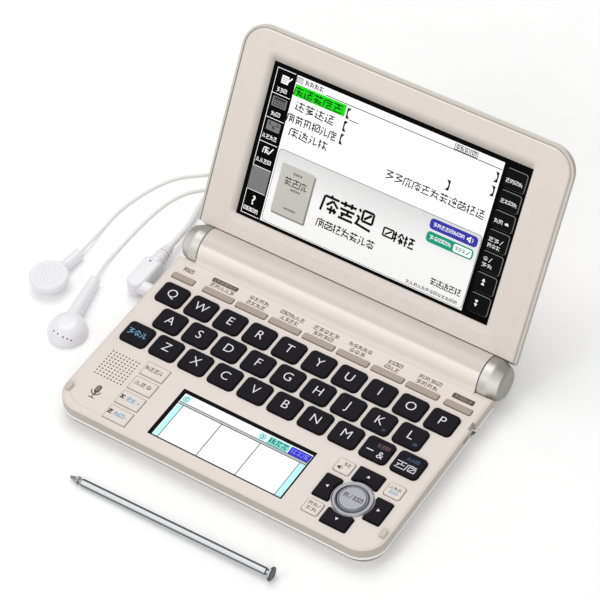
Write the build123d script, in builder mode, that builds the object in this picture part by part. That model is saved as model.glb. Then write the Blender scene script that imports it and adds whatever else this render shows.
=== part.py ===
from build123d import *
import os
from math import atan2, cos, degrees, pi, radians, sin, sqrt, tan

# A clamshell electronic dictionary, all lengths in millimetres.
# Frame: +X to the user's right, +Y away from the user, +Z up. The origin lies below the middle of
# the base, on the plane that the feet stand on. The lid is modelled open, in its own plane.

os.makedirs("parts", exist_ok=True)

# ---------------------------------------------------------------- driving dimensions
# cells and the barrel round them, one axis along X with the hinge
CELL_R = 7.1
CELL_L = 50.5             # with its button
BAY_R = CELL_R + 0.35     # battery bay
SPRING_ROOM = 11.0        # contacts and springs at the ends of the bay
BAY_W = 2 * CELL_L + SPRING_ROOM
DOOR_W = BAY_W - 4.0      # battery door
DOOR_T = 1.1
BARREL_R = BAY_R + 1.25
BLEND_R = 3.5             # hollow that runs from the deck up the barrel
RUN_GAP = 0.3             # clearance between shells that move past each other

# hinge units
PIN_R = 2.0
PIN_FIT = 0.06            # radial running clearance of the pin
CLUTCH_R = 5.6
CLUTCH_L = 5.4
BAY_WALL = 1.6            # barrel wall between the bay and a clutch
END_WALL = 1.7            # barrel end wall outside the clutch
CAP_W = 8.7               # length of a silver end cap
CAP_DRUM = 3.6            # its straight part, before the long bevel
CONTACT = 9.0             # square contact plates
BARREL_W = BAY_W + 2 * (BAY_WALL + CLUTCH_L + END_WALL)

# case of the base
CASE_W = BARREL_W + 2 * (RUN_GAP + CAP_W + 0.3)     # overall width, which is the lid's
CASE_D = 105.0            # depth, front edge to the back of the battery barrel
BASE_IN = 0.8             # the base's sides inside the lid's sides
BASE_W = CASE_W - 2 * BASE_IN
CORNER_R = 10.8           # front corners in plan
HINGE_Y = 43.3
FOOT_H = 0.8              # feet below the case
UNDER_Z = FOOT_H          # underside of the case
DECK_Z = UNDER_Z + BARREL_R            # top of the keyboard deck; the barrel is half sunk in it
DECK_T = 1.5              # deck thickness
SPLIT_Z = UNDER_Z + 2.6   # parting plane of the two base shells
GROOVE = 0.5              # shadow gap at the parting plane, height and depth
BEAD_H = 0.7              # bead above the gap
BEAD_OUT = 0.3            # bead outside the wall
LIP_W, LIP_H = 1.1, 0.35  # gentle slope round the deck
SIDE_WALL = 2.4           # side walls
FRONT_WALL = 3.8
FLOOR_T = 1.5             # bottom shell floor
SHELF_Y = HINGE_Y - BARREL_R - RUN_GAP # back edge of the shells, clear of the end caps

# lid
LID_ANGLE = 59.0          # lean of the open lid above the horizontal, degrees
LID_LEN = 96.2            # from the hinge axis to the lid's free edge
LID_T = 5.6               # bezel face to back
LID_GAP = 1.5             # closed: bezel face above the deck
LID_R = 11.0              # outer corners
LID_WALL = 1.5
LID_BACK_R = 3.5          # rounding of the back's edges
RIM_W = 0.9               # the back cover's rim round the bezel
RIM_DROP = 0.6            # rim below the bezel's face
BEZEL_T = 1.2
BEZEL_IN = 1.5            # bezel edge inside the back cover's edge
BEZEL_EDGE = 0.4          # bevel of the bezel's edge
DISH_W = 4.0              # slope from the bezel's face down to the window
TRAY_IN = 6.0             # edge of the display tray inside the lid's edge
WRAP_GAP = 0.4            # between the lid's lower edge and the barrel
SCREEN_SIDE = 16.05       # bezel beside the display's dark window
SCREEN_LOW = 18.35        # window's lower edge from the hinge axis
SCREEN_TOP = 12.55        # bezel above the window
SCREEN_W = CASE_W - 2 * SCREEN_SIDE
SCREEN_H = LID_LEN - SCREEN_LOW - SCREEN_TOP
SCREEN_V = SCREEN_LOW + SCREEN_H / 2
WINDOW_T = 1.0
WINDOW_SINK = 0.5         # window below the bezel's face
FIT = 0.1                 # a plate in its opening

# letter keys
KEY_W = 11.8
KEY_D = 10.4
KEY_R = 1.9
ROW_N, MIDDLE_N = 10, 9   # keys in an outer row and in the middle row
KEY_X = -0.4              # middle of the outer rows
KEY_SIDE = 5.82           # case beside the outermost keys, mean of both sides
KEY_PITCH = (CASE_W - 2 * KEY_SIDE - KEY_W) / (ROW_N - 1)
FN_Y = SHELF_Y - 9.9      # function keys along the hinge
ROW_Y = FN_Y - 9.6        # upper letter row
LOW_ROW = 43.8            # lower letter row from the front edge
FRONT_Y = HINGE_Y + BARREL_R - CASE_D
ROW_PITCH = (ROW_Y - (FRONT_Y + LOW_ROW)) / 2
STAGGER = 7.3             # middle row's shift to the right
KEY_PROUD = 1.1           # letter key above the deck
KEY_BOTTOM = DECK_Z - 1.9 # underside of every key at rest
KEY_GAP = 0.28            # key to its opening, each side
KEY_CHAMFER = 0.35
TRAVEL = 0.5              # key travel

# function keys
FN_D = 2.8
FN_X = -CASE_W / 2 + 26.7 # first of the eight
FN_PITCH = (CASE_W - 26.7 - 10.7) / 7
FN_W = FN_PITCH - 1.8
MENU_W = 11.6             # last one
POWER_X = -CASE_W / 2 + 9.9
POWER_W = 10.2
LOW_PROUD = 0.5           # small keys above the deck

# four small keys left of the lower display
SMALL_X = -CASE_W / 2 + 28.25
SMALL_Y = FRONT_Y + 31.7  # rearmost
SMALL_PITCH = 8.27
SMALL_W = 10.3
SMALL_D = 6.5

# round pad
PAD_X, PAD_Y = CASE_W / 2 - 21.65, FRONT_Y + 19.65
RING_R = 8.2
RING_BORE = 5.9
RING_H = 0.8              # above the deck
BUTTON_R = 5.45
ARROW_OFF = 11.1          # arrow key centre from the pad's centre
ARROW_LONG = 11.2
ARROW_WIDE = 7.1
ARROW_R = 0.8
ARROW_CLEAR = 0.5         # arrow key to the ring
CORNER_X = 11.1           # corner keys from the pad's centre
CORNER_Y = 10.9
CORNER_DX, CORNER_DY = 0.3, 0.3        # middle of the corner keys from the pad's
CORNER_W = 6.9
CORNER_D = 6.3
CORNER_KEY_R = 1.0

# lower display
SUB_X0, SUB_X1 = SMALL_X + 14.2, PAD_X - 23.0
SUB_X, SUB_Y = (SUB_X0 + SUB_X1) / 2, FRONT_Y + 18.6
SUB_W, SUB_D = SUB_X1 - SUB_X0, 25.0
SUB_GLASS = 1.4
SUB_SINK = 0.1
SUB_RIM = 2.2             # module beyond its glass

# sound
GRILLE_X, GRILLE_Y = -CASE_W / 2 + 13.9, FRONT_Y + 26.2
GRILLE_N = 9
GRILLE_PITCH = 1.55
GRILLE_HOLE = 0.42        # radius, six-sided
SPEAKER_R = 8.5
SPEAKER_T = 3.4
MIC_X, MIC_Y = -CASE_W / 2 + 14.0, FRONT_Y + 11.4
MIC_R = 3.0

# inside
BOARD_Z = UNDER_Z + 4.4
BOARD_T = 1.0
CHIP_H = 1.4
MAT_SIDE, MAT_FRONT, MAT_BACK = 4.0, 0.7, 5.8       # key mat inside the cavity
MAT_T = 0.8               # rubber key mat on the board
POST_R = 2.2
SCREW_R = 0.9
SCREW_HEAD_R = 1.8

# feet and lid bumpers
FOOT_R = 3.5
FOOT_SEAT = 0.4           # foot let into the case
BUMPER_L, BUMPER_W = 4.0, 2.4
BUMPER_H = 1.2

# strap notch and eye in the right-hand wall
NOTCH_Y, NOTCH_L = 19.2, 4.0
NOTCH_DEEP = 1.6
EYE_Y, EYE_L, EYE_H = 14.2, 4.4, 1.3

# stylus on the table
STYLUS_R = 1.5
STYLUS_L = 91.4
STYLUS_HEAD_R = 2.9
STYLUS_HEAD_T = 1.1
STYLUS_TIP_L = 5.2
STYLUS_Y = -74.6
STYLUS_X0 = -48.5         # point of the tip

# earphones
JACK_Y, JACK_Z = 15.6, UNDER_Z + 3.8
JACK_NOSE_R = 3.0
JACK_L, JACK_W, JACK_H = 11.0, 7.0, 4.6
PLUG_PIN_R = 1.75
PLUG_PIN_L = 10.9
PLUG_X = -CASE_W / 2 - 7.6
PLUG_W = 8.0
PLUG_H = 7.4
PLUG_Y0, PLUG_Y1 = 12.2, 28.7
RELIEF_R0, RELIEF_R1 = 3.1, 1.8
RELIEF_Y = 40.4
CORD_R = 1.2
LEAD_R = 0.6
COIL_X, COIL_Y = -44.0, 97.0
COIL_MEAN_R = 14.0        # middle of the turns
COIL_TURNS_WIDE = 3
BUD_R = 8.25              # earbud's rim
BUD_1 = (-113.8, 0.4)
BUD_2 = (-92.6, -16.4)
SPLIT_Y = 92.0            # cord's end of the splitter
SPLIT_R = 2.5
SPLIT_L = 14.0

# ---------------------------------------------------------------- derived planes and places
HINGE_Z = DECK_Z
FLOOR_Z = UNDER_Z + FLOOR_T
WALL_X = BASE_W / 2 - BEAD_OUT         # outside of a side wall
CAVITY_W = BASE_W - 2 * SIDE_WALL
CAVITY_Y0 = FRONT_Y + FRONT_WALL
CAVITY_Y1 = SHELF_Y - 2.0
CAVITY_R = CORNER_R - 3.3
DECK_UNDER = DECK_Z - DECK_T
MAT_TOP = BOARD_Z + BOARD_T + MAT_T
BARREL_X = BARREL_W / 2
CAP_X0 = BARREL_X + RUN_GAP            # inner face of a cap
CLUTCH_X0 = BARREL_X - END_WALL - CLUTCH_L

LID = Plane(origin=(0, HINGE_Y, HINGE_Z), x_dir=(1, 0, 0),
            z_dir=(0, -sin(radians(LID_ANGLE)), cos(radians(LID_ANGLE))))
FACE = -LID_GAP                        # bezel face in the lid's own z
BACK = FACE - LID_T                    # outer back of the lid
WRAP_R = BARREL_R + WRAP_GAP
LID_W = CASE_W

ROW_X0 = KEY_X - (ROW_N - 1) / 2 * KEY_PITCH          # first key of an outer row
ROWS = (("letter_keys_upper", ROW_N, ROW_X0, ROW_Y),
        ("letter_keys_middle", MIDDLE_N, ROW_X0 + STAGGER, ROW_Y - ROW_PITCH),
        ("letter_keys_lower", ROW_N, ROW_X0, ROW_Y - 2 * ROW_PITCH))
FUNCTION_KEYS = [("power_key", POWER_X, POWER_W)]
FUNCTION_KEYS += [("function_key_%d" % (i + 1), FN_X + i * FN_PITCH, FN_W) for i in range(7)]
FUNCTION_KEYS += [("menu_key", FN_X + 7 * FN_PITCH, MENU_W)]
SMALL_KEYS = [("side_key_%d" % (i + 1), SMALL_X, SMALL_Y - i * SMALL_PITCH) for i in range(4)]
CORNER_KEYS = [(name, PAD_X + CORNER_DX + sx * CORNER_X, PAD_Y + CORNER_DY + sy * CORNER_Y)
               for name, sx, sy in (("sound_key", -1, 1), ("jump_key", 1, 1), ("back_key", -1, -1))]
ARROWS = (("arrow_up", 0, 1), ("arrow_right", 1, 0), ("arrow_down", 0, -1), ("arrow_left", -1, 0))
SCREWS = [(s * (BASE_W / 2 - 4.0), y) for s in (-1, 1) for y in (SHELF_Y - 5.0, 4.0)]
SCREWS += [(s * (BASE_W / 2 - 7.2), FRONT_Y + 8.0) for s in (-1, 1)]
FEET = [(s * (BARREL_X - 5.3), HINGE_Y - 1.4) for s in (-1, 1)]
FEET += [(s * (BASE_W / 2 - 16.2), FRONT_Y + 8.0) for s in (-1, 1)]
POSTS = [(-34, FRONT_Y + 43), (34, FRONT_Y + 43), (0, 4), (25, SHELF_Y - 7), (-25, SHELF_Y - 7)]


def save(piece, name):
    piece.label = name
    export_step(piece, "parts/%s.step" % name)


# ---------------------------------------------------------------- outlines shared by pieces and openings
def letter_outline(grow):
    """Rounded outlines of all letter keys, grown on every side."""
    for _, count, x0, y in ROWS:
        with Locations(*[(x0 + i * KEY_PITCH, y) for i in range(count)]):
            RectangleRounded(KEY_W + 2 * grow, KEY_D + 2 * grow, KEY_R + grow)


def small_outlines(grow):
    """Outlines of the function, side and corner keys, grown on every side."""
    for _, x, w in FUNCTION_KEYS:
        with Locations((x, FN_Y)):
            RectangleRounded(w + 2 * grow, FN_D + 2 * grow, 0.6 + grow)
    for _, x, y in SMALL_KEYS:
        with Locations((x, y)):
            Rectangle(SMALL_W + 2 * grow, SMALL_D + 2 * grow)
    for _, x, y in CORNER_KEYS:
        with Locations((x, y)):
            RectangleRounded(CORNER_W + 2 * grow, CORNER_D + 2 * grow, CORNER_KEY_R + grow)


def arrow_outline(dx, dy, grow):
    """One arrow key: a rounded bar whose inner side follows the ring."""
    wide, long = ARROW_WIDE + 2 * grow, ARROW_LONG + 2 * grow
    size = (long, wide) if dy else (wide, long)
    with Locations((PAD_X + dx * ARROW_OFF, PAD_Y + dy * ARROW_OFF)):
        RectangleRounded(*size, ARROW_R)
    with Locations((PAD_X, PAD_Y)):
        Circle(RING_R + ARROW_CLEAR - grow, mode=Mode.SUBTRACT)


def barrel_bar(r, x0, x1, mode=Mode.ADD):
    """A round bar on the hinge axis between two stations along X."""
    with BuildSketch(Plane.YZ.offset(x0)) as disc:
        with Locations((HINGE_Y, HINGE_Z)):
            Circle(r)
    extrude(disc.sketch, amount=x1 - x0, mode=mode)


def hinge_hollows():
    """Battery bay, clutch seats and pin bores, cut from either base shell."""
    barrel_bar(BAY_R, -BAY_W / 2, BAY_W / 2, Mode.SUBTRACT)
    for s in (-1, 1):
        barrel_bar(CLUTCH_R + 0.02, s * CLUTCH_X0, s * (CLUTCH_X0 + CLUTCH_L), Mode.SUBTRACT)
        barrel_bar(PIN_R + 0.15, s * (CLUTCH_X0 + CLUTCH_L - 0.5), s * (BARREL_X + 1), Mode.SUBTRACT)


def jack_hole():
    """Round opening for the earphone jack through the left wall."""
    with BuildSketch(Plane.YZ.offset(-BASE_W / 2 - 1)) as disc:
        with Locations((JACK_Y, JACK_Z)):
            Circle(JACK_NOSE_R + 0.05)
    extrude(disc.sketch, amount=SIDE_WALL + 1.5, mode=Mode.SUBTRACT)


def case_layer(z0, z1, inset, taper=0.0):
    """One layer of a base shell's wall: round front corners, square back corners."""
    with BuildSketch(Plane.XY.offset(z0)) as plan:
        with Locations((0, (FRONT_Y + inset + SHELF_Y) / 2)):
            Rectangle(BASE_W - 2 * inset, SHELF_Y - FRONT_Y - inset)
        fillet(plan.vertices().group_by(Axis.Y)[0], CORNER_R - inset)
    extrude(plan.sketch, amount=z1 - z0, taper=taper)


def cavity(z0, height):
    """Room for the electronics, round in its front corners."""
    with BuildSketch(Plane.XY.offset(z0)) as plan:
        with Locations((0, (CAVITY_Y0 + CAVITY_Y1) / 2)):
            Rectangle(CAVITY_W, CAVITY_Y1 - CAVITY_Y0)
        fillet(plan.vertices().group_by(Axis.Y)[0], CAVITY_R)
    extrude(plan.sketch, amount=height, mode=Mode.SUBTRACT)


def strap_notch(z0, height):
    with BuildSketch(Plane.XY.offset(z0)) as plan:
        with Locations((BASE_W / 2 - NOTCH_DEEP / 2 + 0.5, NOTCH_Y)):
            Rectangle(NOTCH_DEEP + 1, NOTCH_L)
    extrude(plan.sketch, amount=height, mode=Mode.SUBTRACT)


# ---------------------------------------------------------------- base, upper shell
BLEND_DY = sqrt((BARREL_R + BLEND_R) ** 2 - BLEND_R ** 2)   # hollow's centre in front of the axis
T = BARREL_R / (BARREL_R + BLEND_R)
TANGENT = (HINGE_Y - BLEND_DY * T, HINGE_Z + BLEND_R * T)   # where the hollow meets the barrel

with BuildPart() as base_top_case:
    # wall from the parting plane up: shadow gap, bead, wall, rounded corner, lip
    bead_z = SPLIT_Z + GROOVE + BEAD_H
    case_layer(SPLIT_Z, SPLIT_Z + GROOVE, BEAD_OUT + GROOVE)
    case_layer(SPLIT_Z + GROOVE, bead_z, 0.0)
    case_layer(bead_z, bead_z + BEAD_OUT, 0.0, taper=45)
    case_layer(bead_z + BEAD_OUT, DECK_Z - LIP_H - 0.2, BEAD_OUT)
    case_layer(DECK_Z - LIP_H - 0.2, DECK_Z - LIP_H, BEAD_OUT, taper=40)
    case_layer(DECK_Z - LIP_H, DECK_Z, BEAD_OUT + 0.2 * tan(radians(40)), taper=degrees(atan2(LIP_W, LIP_H)))
    # battery barrel with the hollow that leads up to it
    with BuildSketch(Plane.YZ.offset(-BARREL_X)):
        with BuildLine():
            a = (SHELF_Y - 8, DECK_Z)
            b = (HINGE_Y - BLEND_DY, DECK_Z)
            Polyline((HINGE_Y, SPLIT_Z), (SHELF_Y - 8, SPLIT_Z), a, b)
            mid = radians(-90 + degrees(atan2(BLEND_DY, BLEND_R)) / 2)
            ThreePointArc(b, (b[0] + BLEND_R * cos(mid), DECK_Z + BLEND_R + BLEND_R * sin(mid)), TANGENT)
            ThreePointArc(TANGENT, (HINGE_Y, HINGE_Z + BARREL_R), (HINGE_Y + BARREL_R, HINGE_Z))
            Polyline((HINGE_Y + BARREL_R, HINGE_Z), (HINGE_Y, HINGE_Z), (HINGE_Y, SPLIT_Z))
        make_face()
    extrude(amount=BARREL_W)
    # electronics cavity
    cavity(SPLIT_Z, DECK_UNDER - SPLIT_Z)
    # screw posts down to the board
    with BuildSketch(Plane.XY.offset(SPLIT_Z)):
        with Locations(*SCREWS):
            Circle(POST_R)
    extrude(amount=DECK_UNDER - SPLIT_Z)
    with BuildSketch(Plane.XY.offset(SPLIT_Z)):
        with Locations(*SCREWS):
            Circle(SCREW_R)
    extrude(amount=4.0, mode=Mode.SUBTRACT)
    hinge_hollows()
    jack_hole()
    # key openings, lower display opening, pad bore
    with BuildSketch(Plane.XY.offset(DECK_UNDER - 1)):
        letter_outline(KEY_GAP)
        small_outlines(KEY_GAP)
        with Locations((SUB_X, SUB_Y)):
            Rectangle(SUB_W + 2 * FIT, SUB_D + 2 * FIT)
        with Locations((PAD_X, PAD_Y)):
            Circle(RING_R - 0.8)
    extrude(amount=DECK_T + 2, mode=Mode.SUBTRACT)
    for _, dx, dy in ARROWS:
        with BuildSketch(Plane.XY.offset(DECK_UNDER - 1)):
            arrow_outline(dx, dy, KEY_GAP)
        extrude(amount=DECK_T + 2, mode=Mode.SUBTRACT)
    # speaker grille and microphone port
    with BuildSketch(Plane.XY.offset(DECK_UNDER - 1)):
        with Locations((GRILLE_X, GRILLE_Y)):
            with GridLocations(GRILLE_PITCH, GRILLE_PITCH, GRILLE_N, GRILLE_N):
                RegularPolygon(GRILLE_HOLE, 6)
        with Locations((MIC_X, MIC_Y)):
            Circle(0.5)
    extrude(amount=DECK_T + 2, mode=Mode.SUBTRACT)
    # strap notch with the eye in front of it
    strap_notch(SPLIT_Z - 1, DECK_Z)
    with BuildSketch(Plane.YZ.offset(BASE_W / 2 - NOTCH_DEEP)):
        with Locations((EYE_Y, DECK_Z - 2.4)):
            SlotOverall(EYE_L, EYE_H)
    extrude(amount=NOTCH_DEEP + 1, mode=Mode.SUBTRACT)
save(base_top_case.part, "base_top_case")

# ---------------------------------------------------------------- base, lower shell
with BuildPart() as base_bottom_case:
    # the wall leans in towards the underside in two steps
    lean = 0.5 + 1.5 * tan(radians(18))
    case_layer(SPLIT_Z, SPLIT_Z - 1.5, 0.5, taper=18)
    case_layer(SPLIT_Z - 1.5, UNDER_Z, lean, taper=45)
    with BuildSketch(Plane.YZ.offset(-BARREL_X)):
        with BuildLine():
            c = radians(-45)
            Polyline((HINGE_Y, SPLIT_Z), (SHELF_Y - 8, SPLIT_Z), (SHELF_Y - 8, UNDER_Z), (HINGE_Y, UNDER_Z))
            ThreePointArc((HINGE_Y, UNDER_Z), (HINGE_Y + BARREL_R * cos(c), HINGE_Z + BARREL_R * sin(c)),
                          (HINGE_Y + BARREL_R, HINGE_Z))
            Polyline((HINGE_Y + BARREL_R, HINGE_Z), (HINGE_Y, HINGE_Z), (HINGE_Y, SPLIT_Z))
        make_face()
    extrude(amount=BARREL_W)
    cavity(FLOOR_Z, 5)
    hinge_hollows()
    jack_hole()
    # opening for the battery door
    with BuildSketch(Plane.XY.offset(UNDER_Z - 1)):
        with Locations((0, HINGE_Y - BAY_R + 0.5 + 15)):
            Rectangle(DOOR_W + 2 * RUN_GAP, 30)
    extrude(amount=HINGE_Z - UNDER_Z + 1, mode=Mode.SUBTRACT)
    # posts that carry the board, screw holes with sunk heads
    with BuildSketch(Plane.XY.offset(UNDER_Z + 1.0)):
        with Locations(*SCREWS):
            Circle(POST_R)
    extrude(amount=SPLIT_Z - UNDER_Z - 1.0)
    with BuildSketch(Plane.XY.offset(FLOOR_Z - 0.2)):
        with Locations(*POSTS):
            Circle(POST_R)
        with Locations((GRILLE_X, GRILLE_Y)):
            Circle(SPEAKER_R - 2.5)
    extrude(amount=BOARD_Z - FLOOR_Z + 0.2)
    with BuildSketch(Plane.XY.offset(BOARD_Z - 1.0)):
        with Locations((GRILLE_X, GRILLE_Y)):
            Circle(SPEAKER_R)
    extrude(amount=3, mode=Mode.SUBTRACT)
    with BuildSketch(Plane.XY.offset(UNDER_Z - 1)):
        with Locations(*SCREWS):
            Circle(SCREW_R + 0.15)
    extrude(amount=6, mode=Mode.SUBTRACT)
    with BuildSketch(Plane.XY.offset(UNDER_Z - 1)):
        with Locations(*SCREWS):
            Circle(SCREW_HEAD_R + 0.1)
    extrude(amount=2.0, mode=Mode.SUBTRACT)
    with BuildSketch(Plane.XY.offset(UNDER_Z - 1)):
        with Locations(*FEET):
            Circle(FOOT_R + 0.05)
    extrude(amount=1 + FOOT_SEAT, mode=Mode.SUBTRACT)
    # reset hole
    with BuildSketch(Plane.XY.offset(UNDER_Z - 1)):
        with Locations((-10, -20)):
            Circle(0.7)
    extrude(amount=FLOOR_T + 2, mode=Mode.SUBTRACT)
    strap_notch(UNDER_Z - 1, SPLIT_Z + 2)
save(base_bottom_case.part, "base_bottom_case")

# battery door: the barrel's lower back quarter with a flat tongue under the cells
with BuildPart() as battery_door:
    with BuildSketch(Plane.YZ.offset(-DOOR_W / 2)):
        with BuildLine():
            r, q, c = BARREL_R, BARREL_R - DOOR_T, radians(-45)
            y0, z1 = HINGE_Y - BAY_R + 0.5 + RUN_GAP, HINGE_Z - 0.2
            yo, yi = HINGE_Y + sqrt(r * r - 0.04), HINGE_Y + sqrt(q * q - 0.04)
            Polyline((HINGE_Y, UNDER_Z + DOOR_T), (y0, UNDER_Z + DOOR_T), (y0, UNDER_Z), (HINGE_Y, UNDER_Z))
            ThreePointArc((HINGE_Y, UNDER_Z), (HINGE_Y + r * cos(c), HINGE_Z + r * sin(c)), (yo, z1))
            Line((yo, z1), (yi, z1))
            ThreePointArc((yi, z1), (HINGE_Y + q * cos(c), HINGE_Z + q * sin(c)), (HINGE_Y, UNDER_Z + DOOR_T))
        make_face()
    extrude(amount=DOOR_W)
    # two rows of grip ribs near its ends
    with BuildSketch(Plane.XY.offset(UNDER_Z)):
        for s in (-1, 1):
            with Locations((s * (DOOR_W / 2 - 14), HINGE_Y - 2.5)):
                with GridLocations(0, 1.6, 1, 4):
                    Rectangle(12, 0.7)
    extrude(amount=0.35, mode=Mode.SUBTRACT)
save(battery_door.part, "battery_door")

# two cells end to end
with BuildPart() as batteries:
    for x in (-CELL_L, 0.0):
        barrel_bar(CELL_R, x + 0.05, x + CELL_L - 1.4)
        barrel_bar(2.75, x + CELL_L - 1.5, x + CELL_L - 0.05)
save(batteries.part, "batteries")

# contact plates at the ends of the bay, with a conical spring at the negative end
with BuildPart() as battery_contacts:
    with BuildSketch(Plane.YZ.offset(CELL_L - 0.05)):
        with Locations((HINGE_Y, HINGE_Z)):
            Rectangle(CONTACT, CONTACT)
    extrude(amount=BAY_W / 2 - CELL_L + 0.05)
    with BuildSketch(Plane.YZ.offset(-BAY_W / 2)):
        with Locations((HINGE_Y, HINGE_Z)):
            Rectangle(CONTACT, CONTACT)
    extrude(amount=0.5)
    with BuildSketch(Plane.XZ.offset(-HINGE_Y)):
        with BuildLine():
            x0, x1, z = -BAY_W / 2 + 0.4, -CELL_L + 0.02, HINGE_Z
            Polyline((x0, z + 3.4), (x0, z + 4.4), (x1, z + 2.6), (x1, z + 1.6), (x0, z + 3.4))
        make_face()
    revolve(axis=Axis((0, HINGE_Y, HINGE_Z), (1, 0, 0)))
save(battery_contacts.part, "battery_contacts")

# ---------------------------------------------------------------- inside the base
with BuildPart() as main_board:
    with BuildSketch(Plane.XY.offset(BOARD_Z)):
        with Locations((0, (CAVITY_Y0 + CAVITY_Y1) / 2)):
            Rectangle(CAVITY_W - 1.0, CAVITY_Y1 - CAVITY_Y0 - 1.0)
        with Locations(*SCREWS):
            Circle(POST_R + 0.4, mode=Mode.SUBTRACT)
        for s in (-1, 1):
            with Locations((s * BASE_W / 2, (SHELF_Y - 0.3) / 2)):
                Rectangle(2 * 4.8, SHELF_Y + 5.7, mode=Mode.SUBTRACT)
            with Locations((s * BASE_W / 2, FRONT_Y + 7.0)):
                Rectangle(2 * 9.7, 12, mode=Mode.SUBTRACT)
        with Locations((GRILLE_X, GRILLE_Y)):
            Circle(SPEAKER_R + 0.4, mode=Mode.SUBTRACT)
        with Locations((-BASE_W / 2 + SIDE_WALL + JACK_L / 2, JACK_Y)):
            Rectangle(JACK_L + 1.2, JACK_W + 0.8, mode=Mode.SUBTRACT)
    extrude(amount=BOARD_T)
    # processor and memory on its underside
    with BuildSketch(Plane.XY.offset(BOARD_Z - CHIP_H)):
        with Locations((10, ROW_Y + 3)):
            Rectangle(16, 16)
        with Locations((-12, ROW_Y + 3)):
            Rectangle(14, 10)
    extrude(amount=CHIP_H + 0.1)
save(main_board.part, "main_board")

with BuildPart() as key_mat:
    with BuildSketch(Plane.XY.offset(BOARD_Z + BOARD_T)) as mat_plan:
        with Locations((0, (CAVITY_Y0 + MAT_FRONT + CAVITY_Y1 - MAT_BACK) / 2)):
            Rectangle(CAVITY_W - 2 * MAT_SIDE, CAVITY_Y1 - MAT_BACK - CAVITY_Y0 - MAT_FRONT)
        fillet(mat_plan.vertices().group_by(Axis.Y)[0], CAVITY_R - 1.0)
        with Locations((SUB_X, SUB_Y)):
            Rectangle(SUB_W + 2 * SUB_RIM + 1, SUB_D + 2 * SUB_RIM + 1, mode=Mode.SUBTRACT)
        with Locations((GRILLE_X, GRILLE_Y)):
            Circle(SPEAKER_R + 0.4, mode=Mode.SUBTRACT)
        with Locations((MIC_X, MIC_Y)):
            Circle(MIC_R + 0.4, mode=Mode.SUBTRACT)
        with Locations(*SCREWS):
            Circle(POST_R + 0.4, mode=Mode.SUBTRACT)
        with Locations((-BASE_W / 2 + SIDE_WALL + JACK_L / 2, JACK_Y)):
            Rectangle(JACK_L + 1.2, JACK_W + 0.8, mode=Mode.SUBTRACT)
    extrude(amount=MAT_T)
save(key_mat.part, "key_mat")

with BuildPart() as speaker:
    with BuildSketch(Plane.XY.offset(BOARD_Z - 1.0)):
        with Locations((GRILLE_X, GRILLE_Y)):
            Circle(SPEAKER_R - 0.3)
    extrude(amount=SPEAKER_T)
    with BuildSketch(Plane.XY.offset(BOARD_Z - 1.0 + SPEAKER_T)):
        with Locations((GRILLE_X, GRILLE_Y)):
            Circle(SPEAKER_R - 1.8)
    extrude(amount=-1.2, taper=30, mode=Mode.SUBTRACT)
save(speaker.part, "speaker")

with BuildPart() as microphone:
    with BuildSketch(Plane.XY.offset(BOARD_Z + BOARD_T)):
        with Locations((MIC_X, MIC_Y)):
            Circle(MIC_R)
    extrude(amount=DECK_UNDER - BOARD_Z - BOARD_T)
save(microphone.part, "microphone")

with BuildPart() as sub_display:
    with BuildSketch(Plane.XY.offset(BOARD_Z + BOARD_T)):
        with Locations((SUB_X, SUB_Y)):
            Rectangle(SUB_W + 2 * SUB_RIM, SUB_D + 2 * SUB_RIM)
    extrude(amount=DECK_UNDER - BOARD_Z - BOARD_T)
save(sub_display.part, "sub_display")

with BuildPart() as sub_window:
    with BuildSketch(Plane.XY.offset(DECK_UNDER)):
        with Locations((SUB_X, SUB_Y)):
            Rectangle(SUB_W, SUB_D)
    extrude(amount=SUB_GLASS)
save(sub_window.part, "sub_window")

with BuildPart() as earphone_jack:
    wall_x = -BASE_W / 2 + SIDE_WALL
    with BuildSketch(Plane.YZ.offset(wall_x)):
        with Locations((JACK_Y, JACK_Z)):
            Rectangle(JACK_W, JACK_H)
    extrude(amount=JACK_L)
    with BuildSketch(Plane.YZ.offset(-WALL_X)):
        with Locations((JACK_Y, JACK_Z)):
            Circle(JACK_NOSE_R)
    extrude(amount=wall_x + WALL_X)
    with BuildSketch(Plane.YZ.offset(-BASE_W / 2 - 1)):
        with Locations((JACK_Y, JACK_Z)):
            Circle(PLUG_PIN_R + 0.05)
    extrude(amount=SIDE_WALL + JACK_L - 0.5, mode=Mode.SUBTRACT)
save(earphone_jack.part, "earphone_jack")

# friction clutches in the ends of the barrel, bored for the pins
with BuildPart() as hinge_clutches:
    for s in (-1, 1):
        barrel_bar(CLUTCH_R, s * CLUTCH_X0, s * (CLUTCH_X0 + CLUTCH_L))
        barrel_bar(PIN_R + PIN_FIT, s * (CLUTCH_X0 - 1), s * (CLUTCH_X0 + CLUTCH_L + 1), Mode.SUBTRACT)
save(hinge_clutches.part, "hinge_clutches")

with BuildPart() as case_screws:
    with BuildSketch(Plane.XY.offset(UNDER_Z + 0.1)):
        with Locations(*SCREWS):
            Circle(SCREW_HEAD_R)
    extrude(amount=0.9)
    with BuildSketch(Plane.XY.offset(UNDER_Z + 0.5)):
        with Locations(*SCREWS):
            Circle(SCREW_R - 0.02)
    extrude(amount=5.6)
save(case_screws.part, "case_screws")

with BuildPart() as feet:
    with BuildSketch(Plane.XY.offset(UNDER_Z - FOOT_H)):
        with Locations(*FEET):
            Circle(FOOT_R)
    extrude(amount=FOOT_H + FOOT_SEAT)
save(feet.part, "feet")

with BuildPart() as lid_bumpers:
    with BuildSketch(Plane.XY.offset(DECK_Z)):
        with Locations((-BASE_W / 2 + 2.8, FRONT_Y + 9.1), (BASE_W / 2 - 2.8, FRONT_Y + 12.3)):
            RectangleRounded(BUMPER_W, BUMPER_L, 0.7)
    extrude(amount=BUMPER_H)
    chamfer(lid_bumpers.faces().group_by(Axis.Z)[-1].edges(), 0.3)
save(lid_bumpers.part, "lid_bumpers")

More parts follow.
